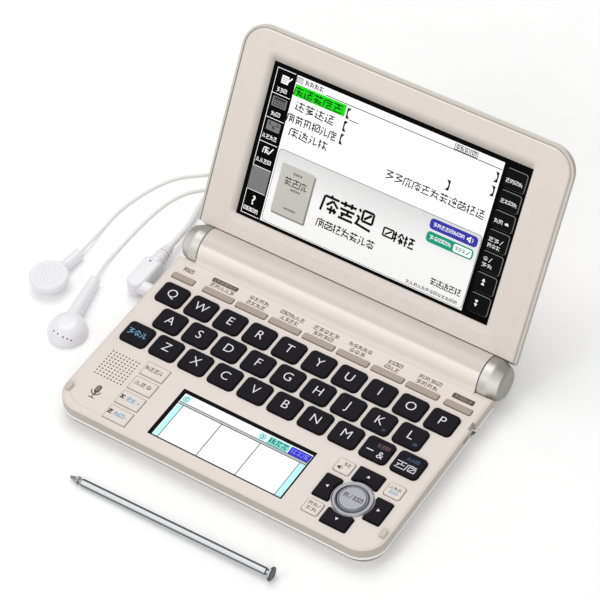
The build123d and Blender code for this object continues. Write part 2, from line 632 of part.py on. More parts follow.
# ---------------------------------------------------------------- keys
for name, count, x0, y in ROWS:
    with BuildPart() as letter_row:
        with BuildSketch(Plane.XY.offset(KEY_BOTTOM)):
            with Locations(*[(x0 + i * KEY_PITCH, y) for i in range(count)]):
                RectangleRounded(KEY_W, KEY_D, KEY_R)
        extrude(amount=DECK_Z + KEY_PROUD - KEY_BOTTOM)
        chamfer(letter_row.faces().group_by(Axis.Z)[-1].edges(), KEY_CHAMFER)
    save(letter_row.part, name)

for name, x, w in FUNCTION_KEYS:
    with BuildPart() as function_key:
        with BuildSketch(Plane.XY.offset(KEY_BOTTOM)):
            with Locations((x, FN_Y)):
                RectangleRounded(w, FN_D, 0.6)
        extrude(amount=DECK_Z + LOW_PROUD - KEY_BOTTOM)
        chamfer(function_key.faces().sort_by(Axis.Z)[-1].edges(), 0.2)
    save(function_key.part, name)

for name, x, y in SMALL_KEYS:
    with BuildPart() as side_key:
        with BuildSketch(Plane.XY.offset(KEY_BOTTOM)):
            with Locations((x, y)):
                Rectangle(SMALL_W, SMALL_D)
        extrude(amount=DECK_Z + LOW_PROUD - KEY_BOTTOM)
        chamfer(side_key.faces().sort_by(Axis.Z)[-1].edges(), 0.25)
    save(side_key.part, name)

for name, x, y in CORNER_KEYS:
    with BuildPart() as corner_key:
        with BuildSketch(Plane.XY.offset(KEY_BOTTOM)):
            with Locations((x, y)):
                RectangleRounded(CORNER_W, CORNER_D, CORNER_KEY_R)
        extrude(amount=DECK_Z + LOW_PROUD - KEY_BOTTOM)
        chamfer(corner_key.faces().sort_by(Axis.Z)[-1].edges(), 0.25)
    save(corner_key.part, name)

for name, dx, dy in ARROWS:
    with BuildPart() as arrow_key:
        with BuildSketch(Plane.XY.offset(KEY_BOTTOM)):
            arrow_outline(dx, dy, 0)
        extrude(amount=DECK_Z + KEY_PROUD - KEY_BOTTOM)
        chamfer(arrow_key.faces().sort_by(Axis.Z)[-1].edges(), KEY_CHAMFER)
    save(arrow_key.part, name)

with BuildPart() as pad_ring:
    with BuildSketch(Plane.XZ.offset(-PAD_Y)):
        with BuildLine():
            z0, z1, z2 = DECK_UNDER, DECK_Z, DECK_Z + RING_H
            Polyline((PAD_X + RING_BORE, z0), (PAD_X + RING_R - 0.85, z0), (PAD_X + RING_R - 0.85, z1),
                     (PAD_X + RING_R, z1), (PAD_X + RING_R, z2 - 0.6), (PAD_X + RING_R - 0.6, z2),
                     (PAD_X + RING_BORE + 0.5, z2), (PAD_X + RING_BORE, z2 - 0.5), (PAD_X + RING_BORE, z0))
        make_face()
    revolve(axis=Axis((PAD_X, PAD_Y, 0), (0, 0, 1)))
save(pad_ring.part, "pad_ring")

with BuildPart() as centre_button:
    with BuildSketch(Plane.XY.offset(KEY_BOTTOM)):
        with Locations((PAD_X, PAD_Y)):
            Circle(BUTTON_R)
    extrude(amount=DECK_Z + RING_H + 0.1 - KEY_BOTTOM)
    fillet(centre_button.faces().sort_by(Axis.Z)[-1].edges(), 0.6)
save(centre_button.part, "centre_button")

# ---------------------------------------------------------------- lid
def lid_outline(inset):
    """The lid's outline seen on its face, round at the free edge."""
    with Locations((0, (LID_LEN - inset) / 2)):
        Rectangle(LID_W - 2 * inset, LID_LEN - inset)


with BuildPart() as lid_back_cover:
    with BuildSketch(LID.offset(BACK)) as back_plan:
        lid_outline(0)
        fillet(back_plan.vertices().group_by(Axis.Y)[-1], LID_R)
    extrude(amount=LID_T - RIM_DROP)
    back_face = lid_back_cover.faces().sort_by(lambda f: LID.to_local_coords(f.center()).Z)[0]
    fillet(back_face.edges().filter_by(lambda e: LID.to_local_coords(e.center()).Y > 1.0), LID_BACK_R)
    # seat of the bezel inside the rim, with room for a groove round it
    with BuildSketch(LID.offset(FACE - BEZEL_T)) as seat_plan:
        lid_outline(RIM_W)
        fillet(seat_plan.vertices().group_by(Axis.Y)[-1], LID_R - RIM_W)
    extrude(amount=LID_T, mode=Mode.SUBTRACT)
    # tray that holds the display
    with BuildSketch(LID.offset(BACK + LID_WALL)):
        with Locations((0, (14.5 + LID_LEN - TRAY_IN) / 2)):
            Rectangle(LID_W - 2 * TRAY_IN, LID_LEN - TRAY_IN - 14.5)
    extrude(amount=LID_T, mode=Mode.SUBTRACT)
    # the lower edge wraps the barrel, clear of it
    barrel_bar(WRAP_R, -CASE_W, CASE_W, Mode.SUBTRACT)
save(lid_back_cover.part, "lid_back_cover")

with BuildPart() as lid_bezel:
    with BuildSketch(LID.offset(FACE - BEZEL_T)) as bezel_plan:
        lid_outline(BEZEL_IN)
        fillet(bezel_plan.vertices().group_by(Axis.Y)[-1], LID_R - BEZEL_IN)
    extrude(amount=BEZEL_T)
    chamfer(lid_bezel.faces().sort_by(lambda f: LID.to_local_coords(f.center()).Z)[-1].edges(), BEZEL_EDGE)
    # shallow dish that leads down to the window, then the window's opening
    with BuildSketch(LID.offset(FACE)):
        with Locations((0, SCREEN_V)):
            RectangleRounded(SCREEN_W + 2 * DISH_W, SCREEN_H + 2 * DISH_W, DISH_W + 0.6)
    extrude(amount=-WINDOW_SINK, taper=degrees(atan2(DISH_W - 0.3, WINDOW_SINK)), mode=Mode.SUBTRACT)
    with BuildSketch(LID.offset(FACE - BEZEL_T)):
        with Locations((0, SCREEN_V)):
            Rectangle(SCREEN_W + 2 * FIT, SCREEN_H + 2 * FIT)
    extrude(amount=BEZEL_T + 1, mode=Mode.SUBTRACT)
    barrel_bar(WRAP_R, -CASE_W, CASE_W, Mode.SUBTRACT)
save(lid_bezel.part, "lid_bezel")

with BuildPart() as screen_window:
    with BuildSketch(LID.offset(FACE - WINDOW_SINK - WINDOW_T)):
        with Locations((0, SCREEN_V)):
            Rectangle(SCREEN_W, SCREEN_H)
    extrude(amount=WINDOW_T)
save(screen_window.part, "screen_window")

with BuildPart() as main_display:
    with BuildSketch(LID.offset(BACK + LID_WALL)):
        with Locations((0, SCREEN_V)):
            Rectangle(SCREEN_W + 4, SCREEN_H + 4)
    extrude(amount=(FACE - WINDOW_SINK - WINDOW_T) - (BACK + LID_WALL))
save(main_display.part, "main_display")

# silver end caps: drums with a long bevel on the hinge axis, each fixed to its pin and the lid
for name, s in (("hinge_cap_left", -1), ("hinge_cap_right", 1)):
    with BuildPart() as hinge_cap:
        with BuildSketch(Plane.XZ.offset(-HINGE_Y)):
            with BuildLine():
                Polyline(*[(s * (CAP_X0 + x), HINGE_Z + r) for x, r in (
                    (0, 0), (0, BARREL_R - 0.3), (0.3, BARREL_R), (CAP_DRUM, BARREL_R),
                    (CAP_DRUM + 0.6, BARREL_R - 0.15), (CAP_W - 0.8, BARREL_R - 1.9),
                    (CAP_W, BARREL_R - 2.9), (CAP_W, 0), (0, 0))])
            make_face()
        revolve(axis=Axis((0, HINGE_Y, HINGE_Z), (1, 0, 0)))
        barrel_bar(PIN_R, s * (CAP_X0 - 1), s * (CAP_X0 + 5.0), Mode.SUBTRACT)
    save(hinge_cap.part, name)

with BuildPart() as hinge_pins:
    for s in (-1, 1):
        barrel_bar(PIN_R, s * (CLUTCH_X0 + 0.2), s * (CAP_X0 + 5.0))
save(hinge_pins.part, "hinge_pins")

# ---------------------------------------------------------------- stylus, lying on the table
PEN_YAW, PEN_PITCH = radians(0.8), atan2(STYLUS_HEAD_R - STYLUS_R, STYLUS_L - STYLUS_TIP_L)
PEN_DIR = Vector(cos(PEN_YAW) * cos(PEN_PITCH), sin(PEN_YAW) * cos(PEN_PITCH), sin(PEN_PITCH))
PEN_TIP = Vector(STYLUS_X0, STYLUS_Y, STYLUS_R - STYLUS_TIP_L * sin(PEN_PITCH) + 0.02)
PEN = Plane(origin=PEN_TIP, x_dir=PEN_DIR, z_dir=(sin(PEN_YAW), -cos(PEN_YAW), 0))

with BuildPart() as stylus_barrel:
    with BuildSketch(PEN):
        with BuildLine():
            x0, x1, r, rh = STYLUS_TIP_L, STYLUS_L, STYLUS_R, STYLUS_HEAD_R
            xh = x1 - STYLUS_HEAD_T
            Polyline((x0, 0), (x0, r - 0.3), (x0 + 0.6, r), (xh - 1.8, r), (xh - 1.3, r - 0.4), (xh, r - 0.4),
                     (xh, rh - 0.3), (xh + 0.3, rh), (x1 - 0.4, rh), (x1, rh - 0.7), (x1, 0), (x0, 0))
        make_face()
    revolve(axis=Axis(PEN_TIP, PEN_DIR))
save(stylus_barrel.part, "stylus_barrel")

with BuildPart() as stylus_tip:
    with BuildSketch(PEN):
        with BuildLine():
            x1, r = STYLUS_TIP_L, STYLUS_R
            Polyline((0, 0), (0, 0.35), (0.35, 0.65), (2.6, 0.95), (3.4, r + 0.1), (4.2, r + 0.1),
                     (4.3, r - 0.5), (x1, r - 0.5), (x1, 0), (0, 0))
        make_face()
    revolve(axis=Axis(PEN_TIP, PEN_DIR))
save(stylus_tip.part, "stylus_tip")

# ---------------------------------------------------------------- earphones
# right-angled plug: pin, moulded body along the case and a ribbed relief
with BuildPart() as earphone_plug:
    with BuildSketch(Plane.XY.offset(JACK_Z - PLUG_H / 2)):
        with Locations((PLUG_X, (PLUG_Y0 + PLUG_Y1) / 2)):
            Rectangle(PLUG_W, PLUG_Y1 - PLUG_Y0)
    extrude(amount=PLUG_H)
    fillet(earphone_plug.edges().filter_by(Axis.Z).group_by(Axis.Y)[0], 3.6)
    fillet(earphone_plug.faces().sort_by(Axis.Z)[-1].edges(), 1.6)
    fillet(earphone_plug.faces().sort_by(Axis.Z)[0].edges(), 1.6)
    with BuildSketch(Plane.YZ.offset(-WALL_X)):
        with Locations((JACK_Y, JACK_Z)):
            Circle(JACK_NOSE_R)
    extrude(amount=PLUG_X + WALL_X)
    with BuildSketch(Plane.YZ.offset(-WALL_X)):
        with Locations((JACK_Y, JACK_Z)):
            Circle(PLUG_PIN_R)
    extrude(amount=PLUG_PIN_L)
    with BuildSketch(Plane.YZ.offset(PLUG_X)):
        with BuildLine():
            n, rib = 5, (RELIEF_Y - PLUG_Y1) / 5
            outline = [(PLUG_Y1 - 1, JACK_Z)]
            for i in range(n):
                r = RELIEF_R0 + (RELIEF_R1 - RELIEF_R0) * i / (n - 1)
                y = PLUG_Y1 + i * rib
                outline += [(y - (1 if i == 0 else 0), JACK_Z + r), (y + rib * 0.6, JACK_Z + r),
                            (y + rib * 0.6, JACK_Z + r - 0.45), (y + rib, JACK_Z + r - 0.45)]
            outline += [(RELIEF_Y, JACK_Z), outline[0]]
            Polyline(*outline)
        make_face()
    revolve(axis=Axis((PLUG_X, 0, JACK_Z), (0, 1, 0)))
save(earphone_plug.part, "earphone_plug")

CORD_POINTS = [(PLUG_X, RELIEF_Y, JACK_Z), (PLUG_X, 46.6, JACK_Z), (-83.0, 54.5, 2.3), (-85.6, 64.5, 1.3),
               (-87.3, 73.6, 1.25), (-80.6, 82.4, 1.3), (-69.6, 87.2, 1.25), (-58.6, 84.0, 1.3)]
LEAD_1 = [(-112.6, 19.0, 2.6), (-112.52, 26.0, 2.44), (-113.6, 36.0, 0.65), (-113.8, 48.0, 0.7),
          (-110.6, 62.0, 0.65), (-104.6, 75.5, 0.7), (-93.5, 83.8, 0.65), (-82.0, 95.5, 0.7),
          (-70.0, 111.5, 0.65), (-54.0, 121.5, 0.7), (-37.5, 124.5, 0.65), (-24.6, 119.5, 0.9),
          (-22.7, 111.5, 2.6), (-22.7, 106.0, 2.6)]
LEAD_2 = [(-98.5, 10.4, 2.6), (-100.46, 17.09, 2.11), (-101.4, 28.0, 0.65), (-101.2, 46.0, 0.7),
          (-99.5, 61.5, 0.65), (-94.6, 72.4, 0.7), (-84.6, 79.8, 0.65), (-75.5, 92.5, 0.7),
          (-67.5, 106.5, 0.65), (-54.6, 115.8, 0.7), (-40.5, 118.8, 0.65), (-28.6, 116.2, 0.9),
          (-24.7, 110.5, 2.6), (-24.7, 106.0, 2.6)]


def tube(points, radius, name):
    """A limp tube: straight runs joined by arcs as large as the runs allow."""
    p = [Vector(*q) for q in points]
    runs = [(b - a).length for a, b in zip(p, p[1:])]
    bends = []
    for i in range(1, len(p) - 1):
        turn = radians((p[i] - p[i - 1]).get_angle(p[i + 1] - p[i]))
        bends.append(0.45 * min(runs[i - 1], runs[i]) / tan(turn / 2))
    with BuildPart() as cord:
        with BuildLine() as path:
            FilletPolyline(*points, radius=bends)
        with BuildSketch(Plane(origin=path.line @ 0, z_dir=path.line % 0)):
            Circle(radius)
        sweep()
    length = path.wire().length
    print("%s: length %.0f, volume ratio %.4f, radii %s" % (
        name, length, cord.part.volume / (pi * radius ** 2 * length), [round(b, 1) for b in bends]))
    save(cord.part, name)


tube(CORD_POINTS, CORD_R, "earphone_cord")
tube(LEAD_1, LEAD_R, "earphone_lead_1")
tube(LEAD_2, LEAD_R, "earphone_lead_2")

# outer shape of the cord's put-away turns
with BuildPart() as earphone_coil:
    half = COIL_TURNS_WIDE * CORD_R
    with BuildSketch(Plane.XY.offset(0.05)):
        with Locations((COIL_X, COIL_Y)):
            Circle(COIL_MEAN_R + half)
            Circle(COIL_MEAN_R - half, mode=Mode.SUBTRACT)
    extrude(amount=2 * half)
    chamfer(earphone_coil.faces().sort_by(Axis.Z)[-1].edges(), CORD_R * 0.8)
save(earphone_coil.part, "earphone_coil")

with BuildPart() as cord_splitter:
    with BuildSketch(Plane.XZ.offset(-SPLIT_Y)):
        with Locations((COIL_X + COIL_MEAN_R + COIL_TURNS_WIDE * CORD_R + SPLIT_R + 0.15, SPLIT_R + 0.05)):
            Circle(SPLIT_R)
    extrude(amount=-SPLIT_L)
    fillet(cord_splitter.faces().sort_by(Axis.Y)[0].edges(), 0.8)
save(cord_splitter.part, "cord_splitter")


def earbud_shell(place, profile):
    """A turned earbud body on a vertical axis. The profile is arcs through every second point."""
    x, y = place
    p = [(x + r, z) for r, z in profile]
    with BuildSketch(Plane.XZ.offset(-y)) as half:
        with BuildLine():
            for i in range(0, len(p) - 2, 2):
                ThreePointArc(p[i], p[i + 1], p[i + 2])
            Polyline(p[-1], (x, p[-1][1]), (x, p[0][1]), p[0])
        make_face()
    revolve(half.sketch, axis=Axis((x, y, 0), (0, 0, 1)))


def earbud_stem(start, end, r0, r1):
    """A tapered stem from inside the body to the lead's exit."""
    a, b = Vector(*start), Vector(*end)
    with BuildSketch(Plane(origin=a, z_dir=b - a)) as root:
        Circle(r0)
    with BuildSketch(Plane(origin=b, z_dir=b - a)) as tip:
        Circle(r1)
    loft([root.sketch.face(), tip.sketch.face()])


# earbud 1 lies on its back, grille up; earbud 2 lies face down
with BuildPart() as earbud_1:
    earbud_shell(BUD_1, [(3.4, 0.3), (6.4, 2.1), (BUD_R, 5.4), (8.0, 6.4), (7.2, 7.0)])
    earbud_stem((BUD_1[0], BUD_1[1] + 2.2, 3.0), LEAD_1[0], 2.55, 2.45)
save(earbud_1.part, "earbud_1")

with BuildPart() as earbud_2:
    earbud_shell(BUD_2, [(7.5, 0.1), (8.1, 0.7), (BUD_R, 1.6), (6.4, 5.6), (1.5, 7.4)])
    earbud_stem((BUD_2[0] - 0.5, BUD_2[1] + 1.2, 3.9), LEAD_2[0], 3.2, 2.35)
save(earbud_2.part, "earbud_2")
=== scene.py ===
# %% [markdown]
# # Dressing an electronic dictionary
# The solid model already has every rigid part in its place. This lesson gives the parts their
# plastics, metal and print, lays the soft earphone cord, and sets up light and camera.
# All lengths are typed in millimetres and multiplied by MM, because Blender works in metres.

# %% Load the solid parts
import math
import random
from contextlib import contextmanager

import bpy
from mathutils import Matrix, Vector


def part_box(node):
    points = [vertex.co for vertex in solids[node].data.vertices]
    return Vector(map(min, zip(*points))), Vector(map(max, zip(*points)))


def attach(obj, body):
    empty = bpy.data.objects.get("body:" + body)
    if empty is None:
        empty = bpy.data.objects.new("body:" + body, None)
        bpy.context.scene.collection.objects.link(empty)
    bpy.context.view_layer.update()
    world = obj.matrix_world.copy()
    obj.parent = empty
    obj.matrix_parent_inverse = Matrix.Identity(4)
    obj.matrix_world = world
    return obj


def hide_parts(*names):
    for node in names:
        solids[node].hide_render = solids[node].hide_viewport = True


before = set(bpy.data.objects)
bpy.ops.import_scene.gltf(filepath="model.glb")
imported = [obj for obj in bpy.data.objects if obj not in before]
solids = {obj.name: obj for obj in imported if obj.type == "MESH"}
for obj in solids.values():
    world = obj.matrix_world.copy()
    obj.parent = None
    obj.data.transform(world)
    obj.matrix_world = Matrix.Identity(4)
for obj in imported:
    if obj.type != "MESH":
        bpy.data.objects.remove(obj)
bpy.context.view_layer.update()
MM = 0.001
print("solid parts:", len(solids))


def mm(*lengths):
    """Lengths in millimetres as a tuple in metres."""
    return tuple(n * MM for n in lengths)


def middle(node):
    """Centre of a solid part's box, in millimetres."""
    low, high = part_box(node)
    return (low + high) / 2 / MM


def top(node):
    """Height of a solid part's highest point, in millimetres."""
    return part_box(node)[1].z / MM


# %% [markdown]
# ## Camera
# A product picture is taken from far away with a long lens, which keeps the keyboard's rows
# nearly parallel. The camera looks at a point on the table just behind the case and is
# rolled a little, so that the case stands at a lively angle.

# %% Place the camera
AZIMUTH, ELEVATION, ROLL = 35.871, 48.729, -3.728  # degrees
DISTANCE = 1063.26
SENSOR, LENS = 36, 159.45
LOOK_AT = Vector((-22.975, 45.745, 0.0)) * MM
FARTHEST_SEEN = 20  # metres

aim = Matrix.Rotation(math.radians(AZIMUTH), 4, "Z")
aim = aim @ Matrix.Rotation(math.radians(90 - ELEVATION), 4, "X")
aim = aim @ Matrix.Rotation(math.radians(ROLL), 4, "Z")
bpy.ops.object.camera_add()
camera = bpy.context.object
camera.data.sensor_width = SENSOR
camera.data.lens = LENS
camera.data.clip_end = FARTHEST_SEEN
stand = Matrix.Translation(LOOK_AT + aim.to_3x3() @ Vector((0, 0, DISTANCE * MM)))
camera.matrix_world = stand @ aim
bpy.context.scene.camera = camera
bpy.context.scene.view_settings.view_transform = "Standard"
print("camera at", [round(c, 3) for c in camera.matrix_world.translation])

# %% [markdown]
# ## Earphone cord
# A thin vinyl cord is limp: it never bends sharply and lies on the table under its own weight.
# A NURBS line pulled by a few control points bends in just that way. The cord leaves the plug,
# turns behind the lid, where its spare length is wound into a flat ring, and ends in a small
# moulded splitter. Two thinner leads run from there to the earbuds.

# %% Plan the main cord's way
CORD_R, LEAD_R = 1.2, 0.6
PLUG_END = (-81.6, 40.4, 4.6)
CORD_ROUTE = [PLUG_END, (-81.6, 46.6, 4.6), (-83.0, 54.5, 2.3), (-85.6, 64.5, 1.3),
              (-87.3, 73.6, 1.25), (-80.6, 82.4, 1.3), (-69.6, 87.2, 1.25)]
RING_CENTRE = (-44.0, 97.0)
RING_RADII = (16.4, 14.0, 11.6)
RING_LAYERS = (1.25, 3.65, 6.05)
POINTS_PER_TURN = 14
START_ANGLE = 226.0
STAYS_FOR = 0.72  # share of a turn before it moves over to the next seat
LAST_TURN = ((226, 11.8, 6.2), (248, 12.6, 7.6), (270, 14.2, 8.5), (292, 16.2, 8.3),
             (312, 18.6, 5.6), (328, 20.4, 3.2))  # angle, radius and height
SPLITTER_IN = (-23.75, 92.1, 2.55)


def ring_point(degrees, radius, z):
    a = math.radians(degrees)
    return RING_CENTRE[0] + radius * math.cos(a), RING_CENTRE[1] + radius * math.sin(a), z


def ring_turns():
    """Control points of the put-away turns: three layers, wound in, out and in again."""
    seats = [(r, z) for i, z in enumerate(RING_LAYERS)
             for r in (RING_RADII[::-1] if i % 2 else RING_RADII)]
    points = []
    for (r, z), (r_next, z_next) in zip(seats, seats[1:] + seats[-1:]):
        for j in range(POINTS_PER_TURN):
            share = max(0.0, j / POINTS_PER_TURN - STAYS_FOR) / (1 - STAYS_FOR)
            points.append(ring_point(START_ANGLE + 360.0 * j / POINTS_PER_TURN,
                                     r + (r_next - r) * share, z + (z_next - z) * share))
    return points


# From the innermost turn it climbs over the ring and comes down to the splitter
loose_end = [ring_point(*spot) for spot in LAST_TURN] + [(-24.0, 89.4, 2.6), SPLITTER_IN]
print("control points of the ring:", len(ring_turns()))


# %% Lay and measure a cord
def lay_cord(name, route, radius):
    """A round, limp cord that follows its control points."""
    line = bpy.data.curves.new(name, "CURVE")
    line.dimensions = "3D"
    line.resolution_u = 8
    line.bevel_depth = 1.0  # times each point's own radius
    line.bevel_resolution = 5
    line.use_fill_caps = True
    spline = line.splines.new("NURBS")
    spline.points.add(len(route) - 1)
    for point, spot in zip(spline.points, route):
        point.co = (*mm(*spot), 1.0)
        point.radius = radius * MM
    spline.order_u = 3
    spline.use_endpoint_u = True
    cord = bpy.data.objects.new(name, line)
    bpy.context.collection.objects.link(cord)
    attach(cord, "base")
    return cord


def curve_length(cord):
    """Length of the cord's own line in metres."""
    bare = cord.data.copy()
    bare.bevel_depth = 0
    temp = bpy.data.objects.new("measure", bare)
    bpy.context.collection.objects.link(temp)
    line = temp.evaluated_get(bpy.context.evaluated_depsgraph_get())
    mesh = bpy.data.meshes.new_from_object(line)
    total = sum((mesh.vertices[a].co - mesh.vertices[b].co).length for a, b in mesh.edge_keys)
    bpy.data.objects.remove(temp)
    bpy.data.curves.remove(bare)
    return total


LEAD_1_ROUTE = [
    (-22.7, 106.0, 2.6), (-22.7, 111.5, 2.6), (-24.6, 119.5, 0.9), (-37.5, 124.5, 0.65),
    (-54.0, 121.5, 0.7), (-70.0, 111.5, 0.65), (-82.0, 95.5, 0.7), (-93.5, 83.8, 0.65),
    (-104.6, 75.5, 0.7), (-110.6, 62.0, 0.65), (-113.8, 48.0, 0.7), (-113.6, 36.0, 0.65),
    (-112.52, 26.0, 2.44), (-112.6, 19.0, 2.6)]
LEAD_2_ROUTE = [
    (-24.7, 106.0, 2.6), (-24.7, 110.5, 2.6), (-28.6, 116.2, 0.9), (-40.5, 118.8, 0.65),
    (-54.6, 115.8, 0.7), (-67.5, 106.5, 0.65), (-75.5, 92.5, 0.7), (-84.6, 79.8, 0.65),
    (-94.6, 72.4, 0.7), (-99.5, 61.5, 0.65), (-101.2, 46.0, 0.7), (-101.4, 28.0, 0.65),
    (-100.46, 17.09, 2.11), (-98.5, 10.4, 2.6)]
main_cord = lay_cord("cord_main", CORD_ROUTE + ring_turns() + loose_end, CORD_R)
lead_1 = lay_cord("cord_lead_1", LEAD_1_ROUTE, LEAD_R)
lead_2 = lay_cord("cord_lead_2", LEAD_2_ROUTE, LEAD_R)
lengths = [curve_length(c) for c in (main_cord, lead_1, lead_2)]
print("cord lengths in m:", [round(n, 3) for n in lengths])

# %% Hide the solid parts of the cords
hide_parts("earphone_cord", "earphone_coil")
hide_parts("earphone_lead_1")
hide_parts("earphone_lead_2")
print("main cord ends at", SPLITTER_IN)

# %% [markdown]
# ## Materials
# Every finish is a Principled shader with a little unevenness from noise, because no moulded
# part is perfectly even. Colours are written as the hex values one would pick on a screen.

# %% Colour and node helpers
def colour(code):
    """A screen colour such as #E2DAD1 as linear red, green, blue and alpha."""
    parts = [int(code[i:i + 2], 16) / 255 for i in (1, 3, 5)]
    return (*[c / 12.92 if c <= 0.04045 else ((c + 0.055) / 1.055) ** 2.4 for c in parts], 1.0)


def feed(node, inputs):
    """Sets a node's inputs. Each is a plain value, an output, or a node that feeds it."""
    for key, value in inputs.items():
        if isinstance(value, bpy.types.Node):
            value = next(output for output in value.outputs if output.enabled)
        if isinstance(value, bpy.types.NodeSocket):
            node.id_data.links.new(value, node.inputs[key])
        else:
            node.inputs[key].default_value = value


def add_node(finish, kind, inputs=(), **settings):
    """Adds a node with its settings and what it is fed with."""
    node = finish.node_tree.nodes.new("ShaderNode" + kind)
    for key, value in settings.items():
        setattr(node, key, value)
    feed(node, dict(inputs))
    return node


def tune(finish, **inputs):
    """Feeds a material's shader. Coat_Weight=0.3 sets its input Coat Weight."""
    feed(finish.node_tree.nodes["Principled BSDF"],
         {key.replace("_", " "): value for key, value in inputs.items()})
    return finish


def shader(name, **inputs):
    """A new material with its shader tuned."""
    finish = bpy.data.materials.new(name)
    finish.use_nodes = True
    return tune(finish, **inputs)


def colour_now(finish):
    """The output that feeds a material's colour."""
    return finish.node_tree.nodes["Principled BSDF"].inputs["Base Color"].links[0].from_socket


def tone_over(finish, under, over, value, start, end, **settings):
    """Lays a tone over another, more and more as value goes from start to end."""
    share = add_node(finish, "MapRange", {"Value": value, "From Min": start, "From Max": end},
                     **settings)
    under, over = [colour(tone) if isinstance(tone, str) else tone for tone in (under, over)]
    return add_node(finish, "Mix", {"Factor": share, "A": under, "B": over}, data_type="RGBA")


def noise(finish, size, detail=2.0):
    """Cloudy noise whose patches have a size in millimetres and stay on the piece."""
    place = add_node(finish, "TexCoord").outputs["Object"]
    return add_node(finish, "TexNoise",
                    {"Vector": place, "Scale": 1 / (size * MM), "Detail": detail})


def uneven_gloss(finish, cloud, low, high):
    """Lets the roughness wander between two values."""
    wander = add_node(finish, "MapRange", {"Value": cloud, "To Min": low, "To Max": high})
    return tune(finish, Roughness=wander)


print("linear mid grey:", round(colour("#808080")[0], 3))

# %% [markdown]
# Moulded plastic has a fine spark-eroded grain that scatters the light a little. Two close
# tones drift into each other over a few millimetres, and a finer noise moves the roughness.
# Lacquer and polish lay a clear coat over it. Keys are left rough, so that fingers grip.

# %% Moulded plastics
DRIFT_SIZE = 9  # millimetres from tone to tone
GLOSS_SPREAD = 0.05


def plastic(name, tone, rough, drift=0.03, grain=0.6, bump=0.02, coat=0.0, specular=0.5):
    """Moulded ABS. drift is the change of tone, grain the texture's size in millimetres."""
    finish = shader(name, Coat_Weight=coat, Coat_Roughness=0.25, Specular_IOR_Level=specular)
    dark, light = [(*[min(1.0, c * (1 + way * drift)) for c in colour(tone)[:3]], 1.0)
                   for way in (-1, 1)]
    cloud, fine = noise(finish, DRIFT_SIZE, 3.0), noise(finish, grain)
    tones = add_node(finish, "Mix", {"Factor": cloud, "A": dark, "B": light}, data_type="RGBA")
    relief = add_node(finish, "Bump", {"Strength": bump, "Distance": 0.05 * MM, "Height": fine})
    tune(finish, Base_Color=tones, Normal=relief)
    return uneven_gloss(finish, fine, rough - GLOSS_SPREAD, rough + GLOSS_SPREAD)


champagne = plastic("champagne_lacquered_abs", "#E4DAD2", 0.42, coat=0.15)
black_keys = plastic("black_moulded_keys", "#131018", 0.5, drift=0.12, grain=0.35, bump=0.06,
                     specular=0.1)
taupe_keys = plastic("taupe_moulded_keys", "#AA9C90", 0.45)
white_shell = plastic("white_polished_abs", "#F4F3F6", 0.25, drift=0.01, coat=0.3)
white_vinyl = plastic("white_soft_vinyl", "#F2F2F1", 0.5, drift=0.01)
bumper_rubber = plastic("beige_silicone_rubber", "#CFC6BD", 0.6, drift=0.05)
foot_rubber = plastic("grey_rubber_feet", "#5A5856", 0.8, drift=0.1, bump=0.1)
board_green = plastic("green_solder_mask", "#1F6B45", 0.4)
panel_black = plastic("black_screen_border", "#030303", 0.35, drift=0.2, bump=0.0, specular=0.05)
print("plastics:", len(bpy.data.materials))

# %% [markdown]
# The upper shell is sprayed in two passes: the deck in pale champagne and, behind a mask, the
# walls below it in the outer shell's silver, painted darker still as shade. A painted
# highlight lies on the bead along the walls' foot, and painted shade fills the gap below it,
# at the parting line. A band of painted highlight runs along the front of the battery barrel,
# with painted shade behind it towards the lid. Tones that go by height and depth put each in
# its place.

# %% Lacquers of the base
# Soft steps by height: wall to deck, the bead's painted highlight, the gap's painted shade
DECK_EDGE, BEAD_HIGHLIGHT_TOP, GAP_SHADE_TOP = (9.0, 9.25), (4.9, 5.2), (4.08, 4.16)  # heights of soft steps
BARREL_TONES, BARREL_ALONE = (32.0, 33.5), (34.0, 34.2)  # where in y the barrel's tones set in
SHADE_LINE = (1.8, 2.0)  # height on the lower shell above which painted shade lies
BARREL_LIGHT_FROM, BARREL_LIGHT_TO = 30.0, 44.0  # the barrel's band of painted highlight and shade, in y
# Painted light on the barrel: a painted highlight from 36 to 37.8, painted shade towards the lid
BARREL_LIGHT_BAND = ((33.0, "#E4DAD2"), (34.0, "#EFE5DC"), (35.0, "#FBF0E7"), (36.0, "#FFF6EE"),
              (37.8, "#FFF6EE"), (38.7, "#DDD3CC"), (40.0, "#D8CEC7"), (43.5, "#D4CBC3"))


def spot_axes(finish):
    """A point's place as the outputs X, Y and Z."""
    place = add_node(finish, "TexCoord").outputs["Object"]
    return add_node(finish, "SeparateXYZ", {"Vector": place}).outputs


def barrel_light_band(finish, y):
    """The barrel's painted highlight and shade, from front to back."""
    reach = add_node(finish, "MapRange",
                     {"Value": y, "From Min": BARREL_LIGHT_FROM * MM, "From Max": BARREL_LIGHT_TO * MM})
    ramp = add_node(finish, "ValToRGB", {"Fac": reach})
    stops = ramp.color_ramp.elements
    while len(stops) < len(BARREL_LIGHT_BAND):
        stops.new(0.5)
    for stop, (y_stop, tone) in zip(stops, BARREL_LIGHT_BAND):
        stop.position = (y_stop - BARREL_LIGHT_FROM) / (BARREL_LIGHT_TO - BARREL_LIGHT_FROM)
        stop.color = colour(tone)
    return ramp


